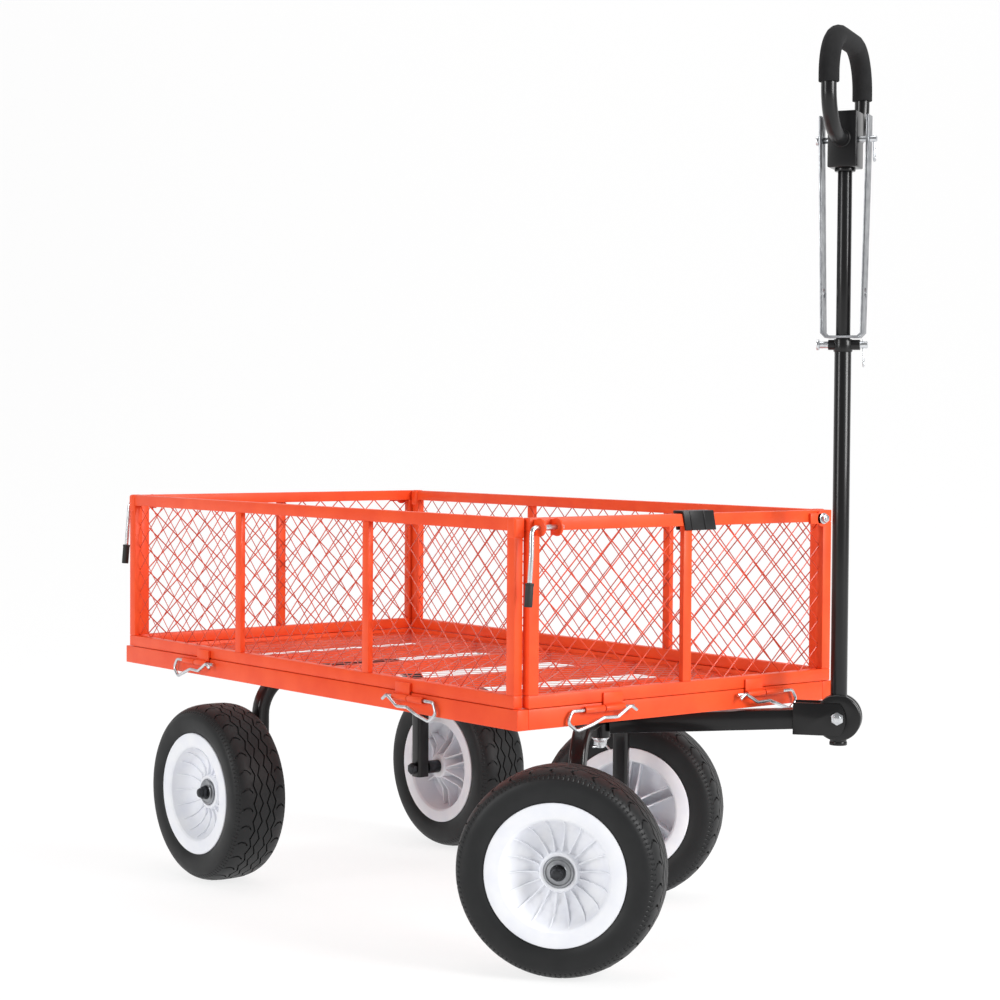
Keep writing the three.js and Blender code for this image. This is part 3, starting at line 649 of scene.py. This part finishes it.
def latch_ears():
    ears = []
    for x in EARS:
        ears.append(rod((x - 1.8, -LATCH_OUT, LATCH_Z), (x + 1.8, -LATCH_OUT, LATCH_Z), EAR_R, 56))
        ears.append(block((x - 1.7, -LATCH_OUT, LATCH_Z - EAR_R + 1), (x + 1.7, 1, LATCH_Z + 12), 0.6))
    tube = turned([(4.6, EARS[0]), (6.5, EARS[0]), (6.5, EARS[0] + 7), (4.6, EARS[0] + 7)], 32)
    tube.data.transform(Matrix.Translation((0, -LATCH_OUT * MM, LATCH_Z * MM)))
    return ears + [tube]


def bolt_lug():
    return [
        rod((LUG_X, -5, LATCH_Z), (LUG_X, -1, LATCH_Z), EAR_R, 56),
        block((LUG_X - 30, -5, LATCH_Z - 9), (LUG_X - 2, -1.2, LATCH_Z + 9), 0.8),
        block((LUG_X - 30.2, -4.8, LATCH_Z - 8.8), (LUG_X - 8, 1, LATCH_Z + 8.8), 0.8),
    ]


# %% Latch rod, its rubber tip, and the corner bolt
ARM_KNEE = Vector((-334, -LATCH_OUT - 2, LATCH_Z - 40))
ARM_END = Vector((-340, -LATCH_OUT - 3, 588))


def latch_rod():
    line = [(-270, -LATCH_OUT, LATCH_Z), (-332, -LATCH_OUT, LATCH_Z), ARM_KNEE, ARM_END]
    washers = [
        rod((x, -LATCH_OUT, LATCH_Z), (x + 1.6, -LATCH_OUT, LATCH_Z), r, 32, 0.3)
        for x, r in ((-280, 8), (-276, 6.5), (-313.5, 8.5))
    ]
    return joined("latch_rod", [bar(bent(line, 11, 6), 3.8)] + washers)


def rubber_tip():
    way = ARM_END - ARM_KNEE
    sleeve = rod(ARM_KNEE + way * 0.6, ARM_KNEE + way * 1.07, 6.4, 32, 0.9)
    mouth = rod(ARM_KNEE + way * 0.585, ARM_KNEE + way * 0.64, 6.9, 32, 0.7)
    return joined("rubber_tip", [sleeve, mouth])


def corner_bolt():
    at = lambda y: (LUG_X, y, LATCH_Z)
    return joined(
        "corner_bolt",
        [
            rod(at(-7), at(-5.2), 9.5, 40, 0.4),
            rod(at(-13), at(-7), 7.6, 6, 0.7),
            rod(at(-15), at(-1), 4, 24, 0.5),
        ],
    )


# %% Four sides in their places
END_SETBACK, SIDE_SETBACK = 0, 1.5
SIDES = {
    "front": (-325, 342, (6,), 0, 0, -END_OUT, 1),
    "rear": (-325, 342, (6,), 180, 0, END_OUT, -1),
    "left": (-594, 594, (-SIDE_BAR, SIDE_BAR), -90, -SIDE_OUT, 0, 1),
    "right": (-587, 587, (-SIDE_BAR, SIDE_BAR), 90, SIDE_OUT, 0, 1),
}
for side, (start, end, bars, turn, x, y, flip) in SIDES.items():
    spot = Matrix.Translation((x * MM, y * MM, 0)) @ Matrix.Rotation(math.radians(turn), 4, "Z")
    place = DECK @ spot @ Matrix.Scale(flip, 4, (1, 0, 0))
    is_end = side in ("front", "rear")
    parts = panel_ring(start, end, bars)
    sleeves = [] if is_end else [corner_sleeve(start, -1), corner_sleeve(end, 1)]
    parts += latch_ears() + bolt_lug() if is_end else sleeves
    ring = joined("ring", parts)
    ring.data.transform(place)
    if flip < 0:
        ring.data.flip_normals()
    knuckle = panel_knuckle(END_SETBACK if is_end else SIDE_SETBACK)
    own = [copied(knuckle, DECK @ hinge_place(name)) for name in HINGES if name.startswith(side)]
    bpy.data.objects.remove(knuckle)
    ring = joined("ring", [ring] + own)
    body = "panel_" + side
    frame_node, net_node = "panel_frame_" + side, "panel_mesh_" + side
    show(ring, "side_frame_" + side, Matrix.Identity(4), body, [frame_node], ORANGE)
    show(panel_net(start, end), "side_sheet_" + side, place, body, [net_node], SHEET_COAT_WITH_PAINTED_SHADE)
    if is_end:
        latch = "latch_" + side
        show(latch_rod(), "latch_rod_" + side, place, latch, ["latch_lever_" + side], ZINC)
        show(rubber_tip(), "tip_" + side, place, latch, ["latch_tip_" + side], SLEEVE)
        show(corner_bolt(), "bolt_" + side, place, body, ["corner_bolt_" + side], ZINC)
bpy.data.objects.remove(deck_knuckle)
print("sides:", list(SIDES))

# %% [markdown]
# ## Rail clip
# A black moulded clip hooks over the front rail and keeps the drawbar from swinging against it. It is a
# folded shell that leans a little, with two raised ribs across. Its front and back walls are drawn as
# leaning plates, joined by a flat top.

# %% Rail clip
clip_low, clip_high = [(c - deck_middle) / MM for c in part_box("rail_clip")]
front_y, back_y = clip_low.y, clip_high.y
LEAN = 7


def clip_wall(left, right, y, thick):
    """A wall across the rail whose sides lean, so its foot stands further along than its top."""
    low_z, top_z = clip_low.z, clip_high.z
    corners = [(left + LEAN, low_z), (right, low_z), (right - LEAN, top_z), (left, top_z)]
    wall = plate(corners, thick, 1.2)
    wall.data.transform(Matrix.Translation((0, y * MM, 0)) @ Matrix.Rotation(math.radians(-90), 4, "Z"))
    return wall


left_x, right_x = clip_low.x, clip_high.x
clip = [
    clip_wall(left_x, right_x, front_y + 3.2, 3.6),
    clip_wall(left_x, right_x, back_y - 2.3, 4.2),
    block((left_x, front_y + 2, clip_high.z - 4.3), (right_x - LEAN, back_y, clip_high.z), 1.4, 3),
]
for x in (left_x + 13, left_x + 43):
    clip.append(clip_wall(x, x + 10, front_y + 1.9, 3.6))
    clip.append(block((x, front_y + 1, clip_high.z - 3), (x + 3.4, back_y - 1, clip_high.z), 0.9))
rail_clip = joined("clip", clip)
show(rail_clip, "clip_over_rail", DECK, "panel_front", ["rail_clip"], PLASTIC)

# %% [markdown]
# ## Axle arches
# Each pair of wheels hangs on one length of rounded square tube, bent twice into an arch. The tube's
# section is a small rounded square, swept along the arch's centre line, as a tube bender would make
# it. The front arch has the kingpin's sleeve and turntable welded under its middle.

# %% Arches
LEG_X, ARCH_BEND, FOOT_Z = 190, 75, 148


def square_section(size, corner):
    """A rounded square as a closed curve, to sweep along a bar."""
    h = size / 2
    ring = [(-h, -h, 0), (h, -h, 0), (h, h, 0), (-h, h, 0)]
    points = bent([(0, -h, 0)] + ring[1:] + ring[:1] + [(0, -h, 0)], corner, 4)
    piece = drawn(points[:-1], close=True)
    bpy.ops.object.convert(target="CURVE")
    return bpy.context.object


def arch(top_z):
    line = [(-LEG_X, 0, FOOT_Z), (-LEG_X, 0, top_z), (LEG_X, 0, top_z), (LEG_X, 0, FOOT_Z)]
    section = square_section(27, 6)
    piece = bar(bent(line, ARCH_BEND, 12), 0, 0.8, section)
    bpy.data.objects.remove(section)
    return piece


rear_place = standing(deck_middle + Vector((0, REAR_AXLE_Y * MM, 0)), (1, 0, 0))
rear_arch = arch(376.5)
show(rear_arch, "rear_arch", rear_place, "deck", ["rear_axle_frame"], BLACK)
front_arch = joined(
    "front_arch",
    [
        arch(369.5),
        rod((0, 0, 332), (0, 0, 385), 17, 48, 1),
        rod((0, 0, 379), (0, 0, 385), 50, 72, 1),
    ],
)
show(front_arch, "front_arch", STEERED, "front_axle", ["front_axle_frame"], BLACK)
print("arches", len(rear_arch.data.polygons), len(front_arch.data.polygons), "faces")

# %% [markdown]
# ## Kingpin
# The front axle turns on one long bolt under a plate on the cross bars. Its zinc washers, nut and
# split pin are seen between the legs.

# %% Kingpin and its plate
pin_place = standing(plan("steer"), (1, 0, 0))
pivot_plate = block((-75, -70, 385.6), (75, 70, 391.7), 1.5)
show(pivot_plate, "pivot_plate_formed", pin_place, "deck", ["pivot_plate"], BLACK)
up = lambda z: (0, 0, z)
kingpin = joined(
    "kingpin",
    [
        rod(up(314), up(394), 7, 32, 1),
        rod(up(392), up(401), 12, 6, 0.8),
        rod(up(329.7), up(331.7), 15, 48, 0.4),
        rod(up(327.5), up(329.5), 12.5, 48, 0.4),
        rod(up(318), up(327.4), 11.5, 6, 0.8),
        bar(bent([(-16, 1.5, 316), (13, 0, 316), (16, -3, 311), (19, -6, 308)], 2, 3), 1.4, 0.3),
    ],
)
show(kingpin, "kingpin_bolt", pin_place, "deck", ["kingpin"], ZINC)

# %% [markdown]
# ## Drawbar
# A flat-sided bar runs forward from the kingpin and ends in two cheek plates. The pole's foot carries a
# thick round drum that sits between the cheeks on one hex bolt, so the pole can be laid down.

# %% Tongue with its cheeks, and the knee bolt
knee_t = (plan("knee_fold") - plan("steer")).length / MM
KNEE_Z = JOINTS["knee_fold"]["pos_m"][2] / MM
SLOPE = math.atan(0.064)
TONGUE_START, TONGUE_STOP, TONGUE_Z = 18, 49.5, 367.2
tongue_bar = block((-17.7, -166.0, -16), (17.7, 166.0, 16), 1.6)
tongue_middle = (0, -(TONGUE_START + knee_t - TONGUE_STOP) / 2 * MM, TONGUE_Z * MM)
tongue_bar.data.transform(Matrix.Translation(tongue_middle) @ Matrix.Rotation(-SLOPE, 4, "X"))


def cheek(side):
    """A plate with a shallow round nose, on one side of the drum."""
    tail, top, bottom = -(knee_t - 73), 405, 352
    nose = [(-(knee_t - 27 + 40.5 * math.cos(a)), KNEE_Z - 2.5 + 40.5 * math.sin(a)) for a in NOSE]
    outline = [(tail, bottom)] + nose + [(tail, top)]
    piece = plate(outline, 4, 0.8)
    piece.data.transform(Matrix.Translation((side * 19.6 * MM, 0, 0)))
    return piece


NOSE = [math.radians(-41 + 82 * i / 14) for i in range(15)]
tongue = joined("tongue", [tongue_bar, cheek(-1), cheek(1)])
show(tongue, "tongue_welded", STEERED, "front_axle", ["tongue"], BLACK)
at_knee = lambda x: (x, -knee_t, KNEE_Z)
knee_bolt = joined(
    "knee",
    [
        rod(at_knee(-27), at_knee(-21.8), 11, 6, 0.9),
        rod(at_knee(-29), at_knee(29), 6, 32, 0.8),
        rod(at_knee(21.8), at_knee(28), 11, 6, 0.9),
    ],
)
show(knee_bolt, "knee_hex_bolt", STEERED, "front_axle", ["knee_bolt"], ZINC)

# %% [markdown]
# ## Pole
# The pole is two tubes, the upper one slid into the lower and held by a rolled collar. A short cross
# tube at the collar stows the spare hitch pin, with a hairpin clip through its end.

# %% Lower and upper pole
STOW_Z = 993
drum_half = [(36.5, 4), (38, 6), (38, 15), (36, 17), (6.5, 17)]
drum = turned([(r, -w) for r, w in reversed(drum_half)] + drum_half, 96, 0.6)
drum.data.transform(Matrix.Translation((0, 0, KNEE_Z * MM)))
pole_lower = joined(
    "pole_lower",
    [
        rod(up(335), up(1001), 13.75, 64, 0.8),
        rod(up(335), up(341), 14.6, 64, 1),
        rod(up(981), up(1002.5), 15.5, 64, 2),
        rod((0, 24, STOW_Z), (0, -28, STOW_Z), 8.5, 40, 0.8),
        drum,
    ],
)
show(pole_lower, "pole_lower_tube", POLE, "pole", ["pole_lower"], BLACK)
pole_upper = rod(up(1000), up(1276), 11.75, 64, 0.5)
show(pole_upper, "pole_upper_tube", POLE, "pole", ["pole_upper"], BLACK)


# %% Hitch pins and hairpin clips
def hitch_pin(z, radius, head_y, end_y, head_r):
    at = lambda y: (0, y, z)
    shaft = rod(at(head_y - 1), at(end_y), radius, 32, 1.2)
    head = rod(at(head_y), at(head_y - 4.5), head_r, 40, 0.9)
    return joined("pin", [shaft, head])


def hairpin(z, y):
    line = [(0, y, z + 9), (0, y, z - 30), (7, y, z - 40), (14, y, z - 30), (11, y, z - 14)]
    return bar(bent(line, 6, 6), 1.3, 0.3)


show(hitch_pin(STOW_Z, 5.8, 43, -40, 9), "hitch_pin", POLE, "pole", ["tow_pin"], ZINC)
show(hairpin(STOW_Z, -33), "hitch_clip", POLE, "pole", ["tow_pin_clip"], ZINC, 50)

# %% [markdown]
# ## Handle
# A block on top of the pole takes a loop of round tube, welded in at both sides. Foam slides over the
# loop's top. The foam is swept along the same line as the tube, a little thicker, with soft ends.

# %% Head block, loop and foam
HEAD_PIN_Z, GRIP_TOP, GRIP_HALF, GRIP_BEND, FOAM_END = 1327, 1489, 115, 70, 1405
head_block = joined(
    "head_block",
    [
        block((-25, -24, 1281), (25, 24, 1372), 2.2, 3),
        rod(up(1275.3), up(1282), 17, 48, 1.2),
    ],
)
show(head_block, "head_block_welded", HEAD, "pole", ["head_block"], BLACK)
LOOP = [
    (-22, 0, HEAD_PIN_Z),
    (-GRIP_HALF, 0, HEAD_PIN_Z),
    (-GRIP_HALF, 0, GRIP_TOP),
    (GRIP_HALF, 0, GRIP_TOP),
    (GRIP_HALF, 0, HEAD_PIN_Z),
    (22, 0, HEAD_PIN_Z),
]
beads = []
for side in (-1, 1):
    let_go()
    bpy.ops.mesh.primitive_torus_add(
        major_radius=12.6 * MM,
        minor_radius=2.2 * MM,
        major_segments=64,
        minor_segments=10,
        location=(side * 25.5 * MM, 0, HEAD_PIN_Z * MM),
        rotation=(0, math.radians(90), 0),
    )
    bpy.ops.object.transform_apply(location=True, rotation=True, scale=True)
    beads.append(bpy.context.object)
loop = joined("loop", [bar(bent(LOOP, GRIP_BEND, 14), 12.5)] + beads)
show(loop, "handle_loop", HEAD, "pole", ["grip_loop"], BLACK)
over = [(-GRIP_HALF, 0, FOAM_END), LOOP[2], LOOP[3], (GRIP_HALF, 0, FOAM_END)]
foam = bar(bent(over, GRIP_BEND, 18), 16.7, 2.2)
show(foam, "foam_sleeve", HEAD, "pole", ["foam_grip"], FOAM, 60)
print("foam grip", len(foam.data.polygons), "faces")

# %% [markdown]
# ## Tow strap
# A flat steel strip is bent into a U and hung on the head's pin. With it swung out, the cart hooks onto
# a tractor. Its shape is right in the fixed model, so a copy is merged and its edges are broken.

# %% Tow strap and its pin
strap = frame["nodes"]["tow_strap"]
strap_piece = bpy.data.objects.new("strap", strap.data.copy())
bpy.context.scene.collection.objects.link(strap_piece)
merged(strap_piece, outward=False)
bpy.ops.object.mode_set(mode="EDIT")
bpy.ops.mesh.select_all(action="SELECT")
bpy.ops.mesh.dissolve_limited(angle_limit=math.radians(1))
bpy.ops.object.mode_set(mode="OBJECT")
soften(strap_piece, 0.5, 2, 45)
# The strap takes the darker zinc, whose colour is painted shade.
show(strap_piece, "strap_bent", Matrix.Identity(4), "tow_strap", ["tow_strap"], ZINC_WITH_PAINTED_SHADE)
strap_pin = hitch_pin(HEAD_PIN_Z, 5, 48, -52, 8)
show(strap_pin, "strap_hinge_pin", HEAD, "pole", ["strap_pin"], ZINC)
show(hairpin(HEAD_PIN_Z, -47), "strap_clip", HEAD, "pole", ["strap_pin_clip"], ZINC, 50)

# %% [markdown]
# ## Tyres
# A tyre's section is a fat rounded ring. Its tread has a chain of diamonds in the middle between two
# zigzag grooves, curved cross grooves out to the shoulder, and fine slits on the shoulder itself. The
# section is spun in many narrow columns. Bands of faces are then pushed sideways into a zigzag or an
# arc and sunk, which keeps every groove crisp without a picture.

# %% Tyre section
TYRE_R, TYRE_HALF, BEAD_R, COLUMNS, REPEATS = 165, 56, 112.4, 240, 30
ROWS = (0, 6.5, 9.5, 19, 22, 25, 31, 37, 43, 46, 50, 53)


def crown(w):
    """The tread's radius at a distance from the middle."""
    return 133 + 32 * (1 - (w / TYRE_HALF) ** 3) ** (1 / 3)


half_section = [(crown(w), w) for w in ROWS]
half_section += [(146, 55.2), (138, 55.9), (128, 55.6), (121, 54), (116, 52), (BEAD_R, 49.5)]
mirrored_section = [(r, -w) for r, w in reversed(half_section[1:])]
tyre = turned(mirrored_section + half_section, COLUMNS)
print("tyre before its tread", len(tyre.data.polygons), "faces")


# %% Tread grooves
def band(piece, low, high, every=1):
    """Selects the tread's faces between two distances from the middle, in every so many columns."""
    let_go()
    take(piece)
    bpy.ops.object.mode_set(mode="EDIT")
    bpy.ops.mesh.select_mode(type="FACE")
    bpy.ops.mesh.select_all(action="DESELECT")
    shape = bmesh.from_edit_mesh(piece.data)
    for face in shape.faces:
        middle = face.calc_center_median() / MM
        radius = math.hypot(middle.y, middle.z)
        column = round(math.atan2(middle.y, middle.z) / (2 * math.pi) * COLUMNS - 0.5)
        inside = low < abs(middle.x) < high and radius > 140
        face.select_set(inside and column % every == 0)
    bmesh.update_edit_mesh(piece.data)


def sink(thickness, depth, one_by_one):
    bpy.ops.mesh.inset(thickness=thickness * MM, depth=-depth * MM, use_individual=one_by_one)
    bpy.ops.mesh.select_mode(type="VERT")
    bpy.ops.object.mode_set(mode="OBJECT")


band(tyre, 47, 52, every=2)
sink(1.5, 0.9, True)
band(tyre, 25, 43, every=8)
sink(0.9, 2.6, False)
band(tyre, 43, 46, every=8)
sink(1.2, 1.2, False)
band(tyre, 19, 22)
sink(0.4, 3.0, False)
band(tyre, 6.5, 9.5)
sink(0.4, 3.0, False)

# %% Bend the grooves
for point in tyre.data.vertices:
    w, y, z = point.co / MM
    radius, turn = math.hypot(y, z), math.atan2(y, z)
    if radius < 140:
        continue
    phase = (turn / (2 * math.pi) * REPEATS) % 1
    wave = 4 * abs(phase - 0.5) - 1
    side = 1 if w > 0 else -1
    if 6 < abs(w) < 10:
        w += side * wave * 3.6
    if 18.5 < abs(w) < 23:
        w += side * wave * -3.2
    if 24 < abs(w) < 47:
        arc = 1 - ((abs(w) - 35) / 11) ** 2
        turn += arc * 9 / radius
    point.co = Vector((w, radius * math.sin(turn), radius * math.cos(turn))) * MM
print("tyre", len(tyre.data.polygons), "faces")

# %% [markdown]
# ## Rims
# A rim is moulded in one piece: a flat outer ring, a bowl, and a hub tube. Outside, thin ribs run from
# the hub to the ring along the bowl. Inside, straight ribs stand in pairs. The bowl is spun, and one rib
# is drawn as a plate and copied round.

# %% Rim bowl and ribs
bowl = turned(
    [
        (112, -53),
        (113.4, -51),
        (112, -49),
        (112, 49),
        (113.4, 51),
        (112, 53),
        (89, 52),
        (86, 49),
        (83, 34),
        (77, 22),
        (66, 14),
        (48, 10),
        (34, 12),
        (31, 21),
        (29.5, 22),
        (25, 22),
        (24.5, 19),
        (9.2, 19),
        (9.2, -50),
        (22, -50),
        (24, -48),
        (25, -6),
        (46, -1),
        (72, -1),
        (84, -6),
        (88, -48),
        (91, -52),
    ],
    120,
    0.8,
)
RIB = [(30, 11), (33, 19), (44, 15), (56, 15), (68, 19), (77, 27), (84, 41), (86, 41), (86, 8)]


def radial_plate(outline, thickness, sideways=0):
    """A thin wall standing along a radius: points are (radius, width)."""
    piece = plate([(w, r) for r, w in outline], thickness, 0.5)
    turn = Matrix(((0, 1, 0, 0), (-1, 0, 0, sideways * MM), (0, 0, 1, 0), (0, 0, 0, 1)))
    piece.data.transform(turn)
    return piece


outer_rib = radial_plate(RIB, 2.2)
INNER_RIB = [(20, -44), (23, -48), (50, -26), (80, -20), (90, -20), (90, 2), (20, 2)]
inner_ribs = [radial_plate(INNER_RIB, 2.6, s) for s in (-9, 9)]
OUTER_COUNT, INNER_COUNT = 18, 6
around = lambda i, count: Matrix.Rotation(2 * math.pi * i / count, 4, "X")
ribs = [copied(outer_rib, around(i, OUTER_COUNT)) for i in range(1, OUTER_COUNT)]
for inner in inner_ribs:
    ribs += [copied(inner, around(i, INNER_COUNT)) for i in range(1, INNER_COUNT)]
rim = joined("rim", [bowl, outer_rib] + inner_ribs + ribs)
print("rim", len(rim.data.polygons), "faces")

# %% Hub bearing, stub axle and nut
BEARING_BODY = [(8.6, 8), (15.5, 8), (15.5, 21), (23.6, 22.4), (24, 23), (23.6, 25)]
BEARING_FACE = [(20.5, 25.4), (19.5, 24.2), (14, 24.2), (13, 25.4), (8.6, 25.4)]
bearing = turned(BEARING_BODY + BEARING_FACE, 72, 0.3)


def stub_axle(mid_x):
    at = lambda x: (x, 0, TYRE_R)
    return joined(
        "stub",
        [
            rod(at(LEG_X - 24), at(LEG_X - 15.3), 12, 6, 0.9),
            rod(at(LEG_X - 26), at(mid_x + 42), 8, 32, 1),
            rod(at(LEG_X + 15.3), at(mid_x - 50.3), 13, 48, 0.8),
            rod(at(mid_x + 25.8), at(mid_x + 27.6), 13, 48, 0.4),
            rod(at(mid_x + 27.4), at(mid_x + 36), 12, 6, 1),
            rod(at(mid_x + 34), at(mid_x + 41), 9.5, 32, 3.5),
        ],
    )


# %% The four wheels
MID_X = {"rear": 284, "front": 303}
here = Matrix.Identity(4)
rim_turn = Matrix.Rotation(math.radians(7), 4, "X")
for name in ("rear_left", "rear_right", "front_left", "front_right"):
    joint = JOINTS["wheel_spin_" + name]
    end, side = name.split("_")
    mirror = Matrix.Scale(-1 if side == "left" else 1, 4, (1, 0, 0))
    place = Matrix.Translation(joint["pos_m"]) @ standing((0, 0, 0), joint["axis"])
    place = place @ mirror
    body = "wheel_" + name
    tread = copied(tyre, place)
    show(tread, "treaded_tyre_" + name, here, body, ["tyre_" + name], TYRE, 30)
    white = copied(rim, place @ rim_turn)
    show(white, "ribbed_rim_" + name, here, body, ["rim_" + name], WHITE, 30)
    hub = copied(bearing, place)
    # The hub bearing takes the darker zinc, whose colour is painted shade.
    show(hub, "bearing_" + name, here, body, ["hub_bearing_" + name], ZINC_WITH_PAINTED_SHADE)
    axle_body = "deck" if end == "rear" else "front_axle"
    base = (rear_place if end == "rear" else STEERED) @ mirror
    axle, axle_node = stub_axle(MID_X[end]), "stub_axle_" + name
    show(axle, "axle_bolt_" + name, base, axle_body, [axle_node], DARK_STEEL)
for spare in (tyre, rim, bearing):
    bpy.data.objects.remove(spare)

# %% [markdown]
# ## Floor and light
# The floor is one large sheet, curved up at the back, in matt paint that glows a little, so that it
# stays pale and even. The soft boxes are larger than the cart, so their reflections run along the
# tubes as broad bands, as on a studio cove.

# %% Studio cove
cove_line = bent([(0, -9000, 0), (0, 5000, 0), (0, 5000, 9000)], 3000, 24)
cove = drawn(cove_line)
bpy.ops.object.mode_set(mode="EDIT")
bpy.ops.mesh.select_all(action="SELECT")
bpy.ops.transform.translate(value=(-12, 0, 0))
bpy.ops.mesh.extrude_region_move(TRANSFORM_OT_translate={"value": (24, 0, 0)})
bpy.ops.object.mode_set(mode="OBJECT")
cove.name = "cove"
cove.data.transform(Matrix.Rotation(-YAW, 4, "Z"))
matt = bpy.data.materials.new("matt_white_paint")
matt.use_nodes = True
paint = matt.node_tree.nodes["Principled BSDF"].inputs
paint["Base Color"].default_value = hexed("#7C7C7C")
paint["Roughness"].default_value = 0.9
paint["Emission Color"].default_value = hexed("#FFFFFF")
paint["Emission Strength"].default_value = 0.8
cove.data.materials.append(matt)
take(cove)
bpy.ops.object.shade_smooth()


# %% Sky and soft boxes
def soft_box(name, spot, size, power, aim=(0, 0, 0.4)):
    light = bpy.data.lights.new(name, "AREA")
    light.shape = "RECTANGLE"
    light.size, light.size_y = size
    light.energy = power
    lamp = bpy.data.objects.new(name, light)
    bpy.context.scene.collection.objects.link(lamp)
    lamp.location = spot
    lamp.rotation_euler = (Vector(aim) - Vector(spot)).to_track_quat("-Z", "Y").to_euler()


sky = bpy.data.worlds.new("studio")
sky.use_nodes = True
glow = sky.node_tree.nodes["Background"].inputs
glow["Color"].default_value = hexed("#FFFFFF")
glow["Strength"].default_value = 0.25
bpy.context.scene.world = sky
soft_box("front_box", (1.4, -4.8, 2.6), (2.0, 3.0), 260)
soft_box("left_box", (-5.0, 0.4, 2.2), (1.4, 3.0), 110)
soft_box("top_box", (0.0, 0.0, 5.0), (3.0, 3.0), 60)
bpy.context.scene.view_settings.view_transform = "Standard"
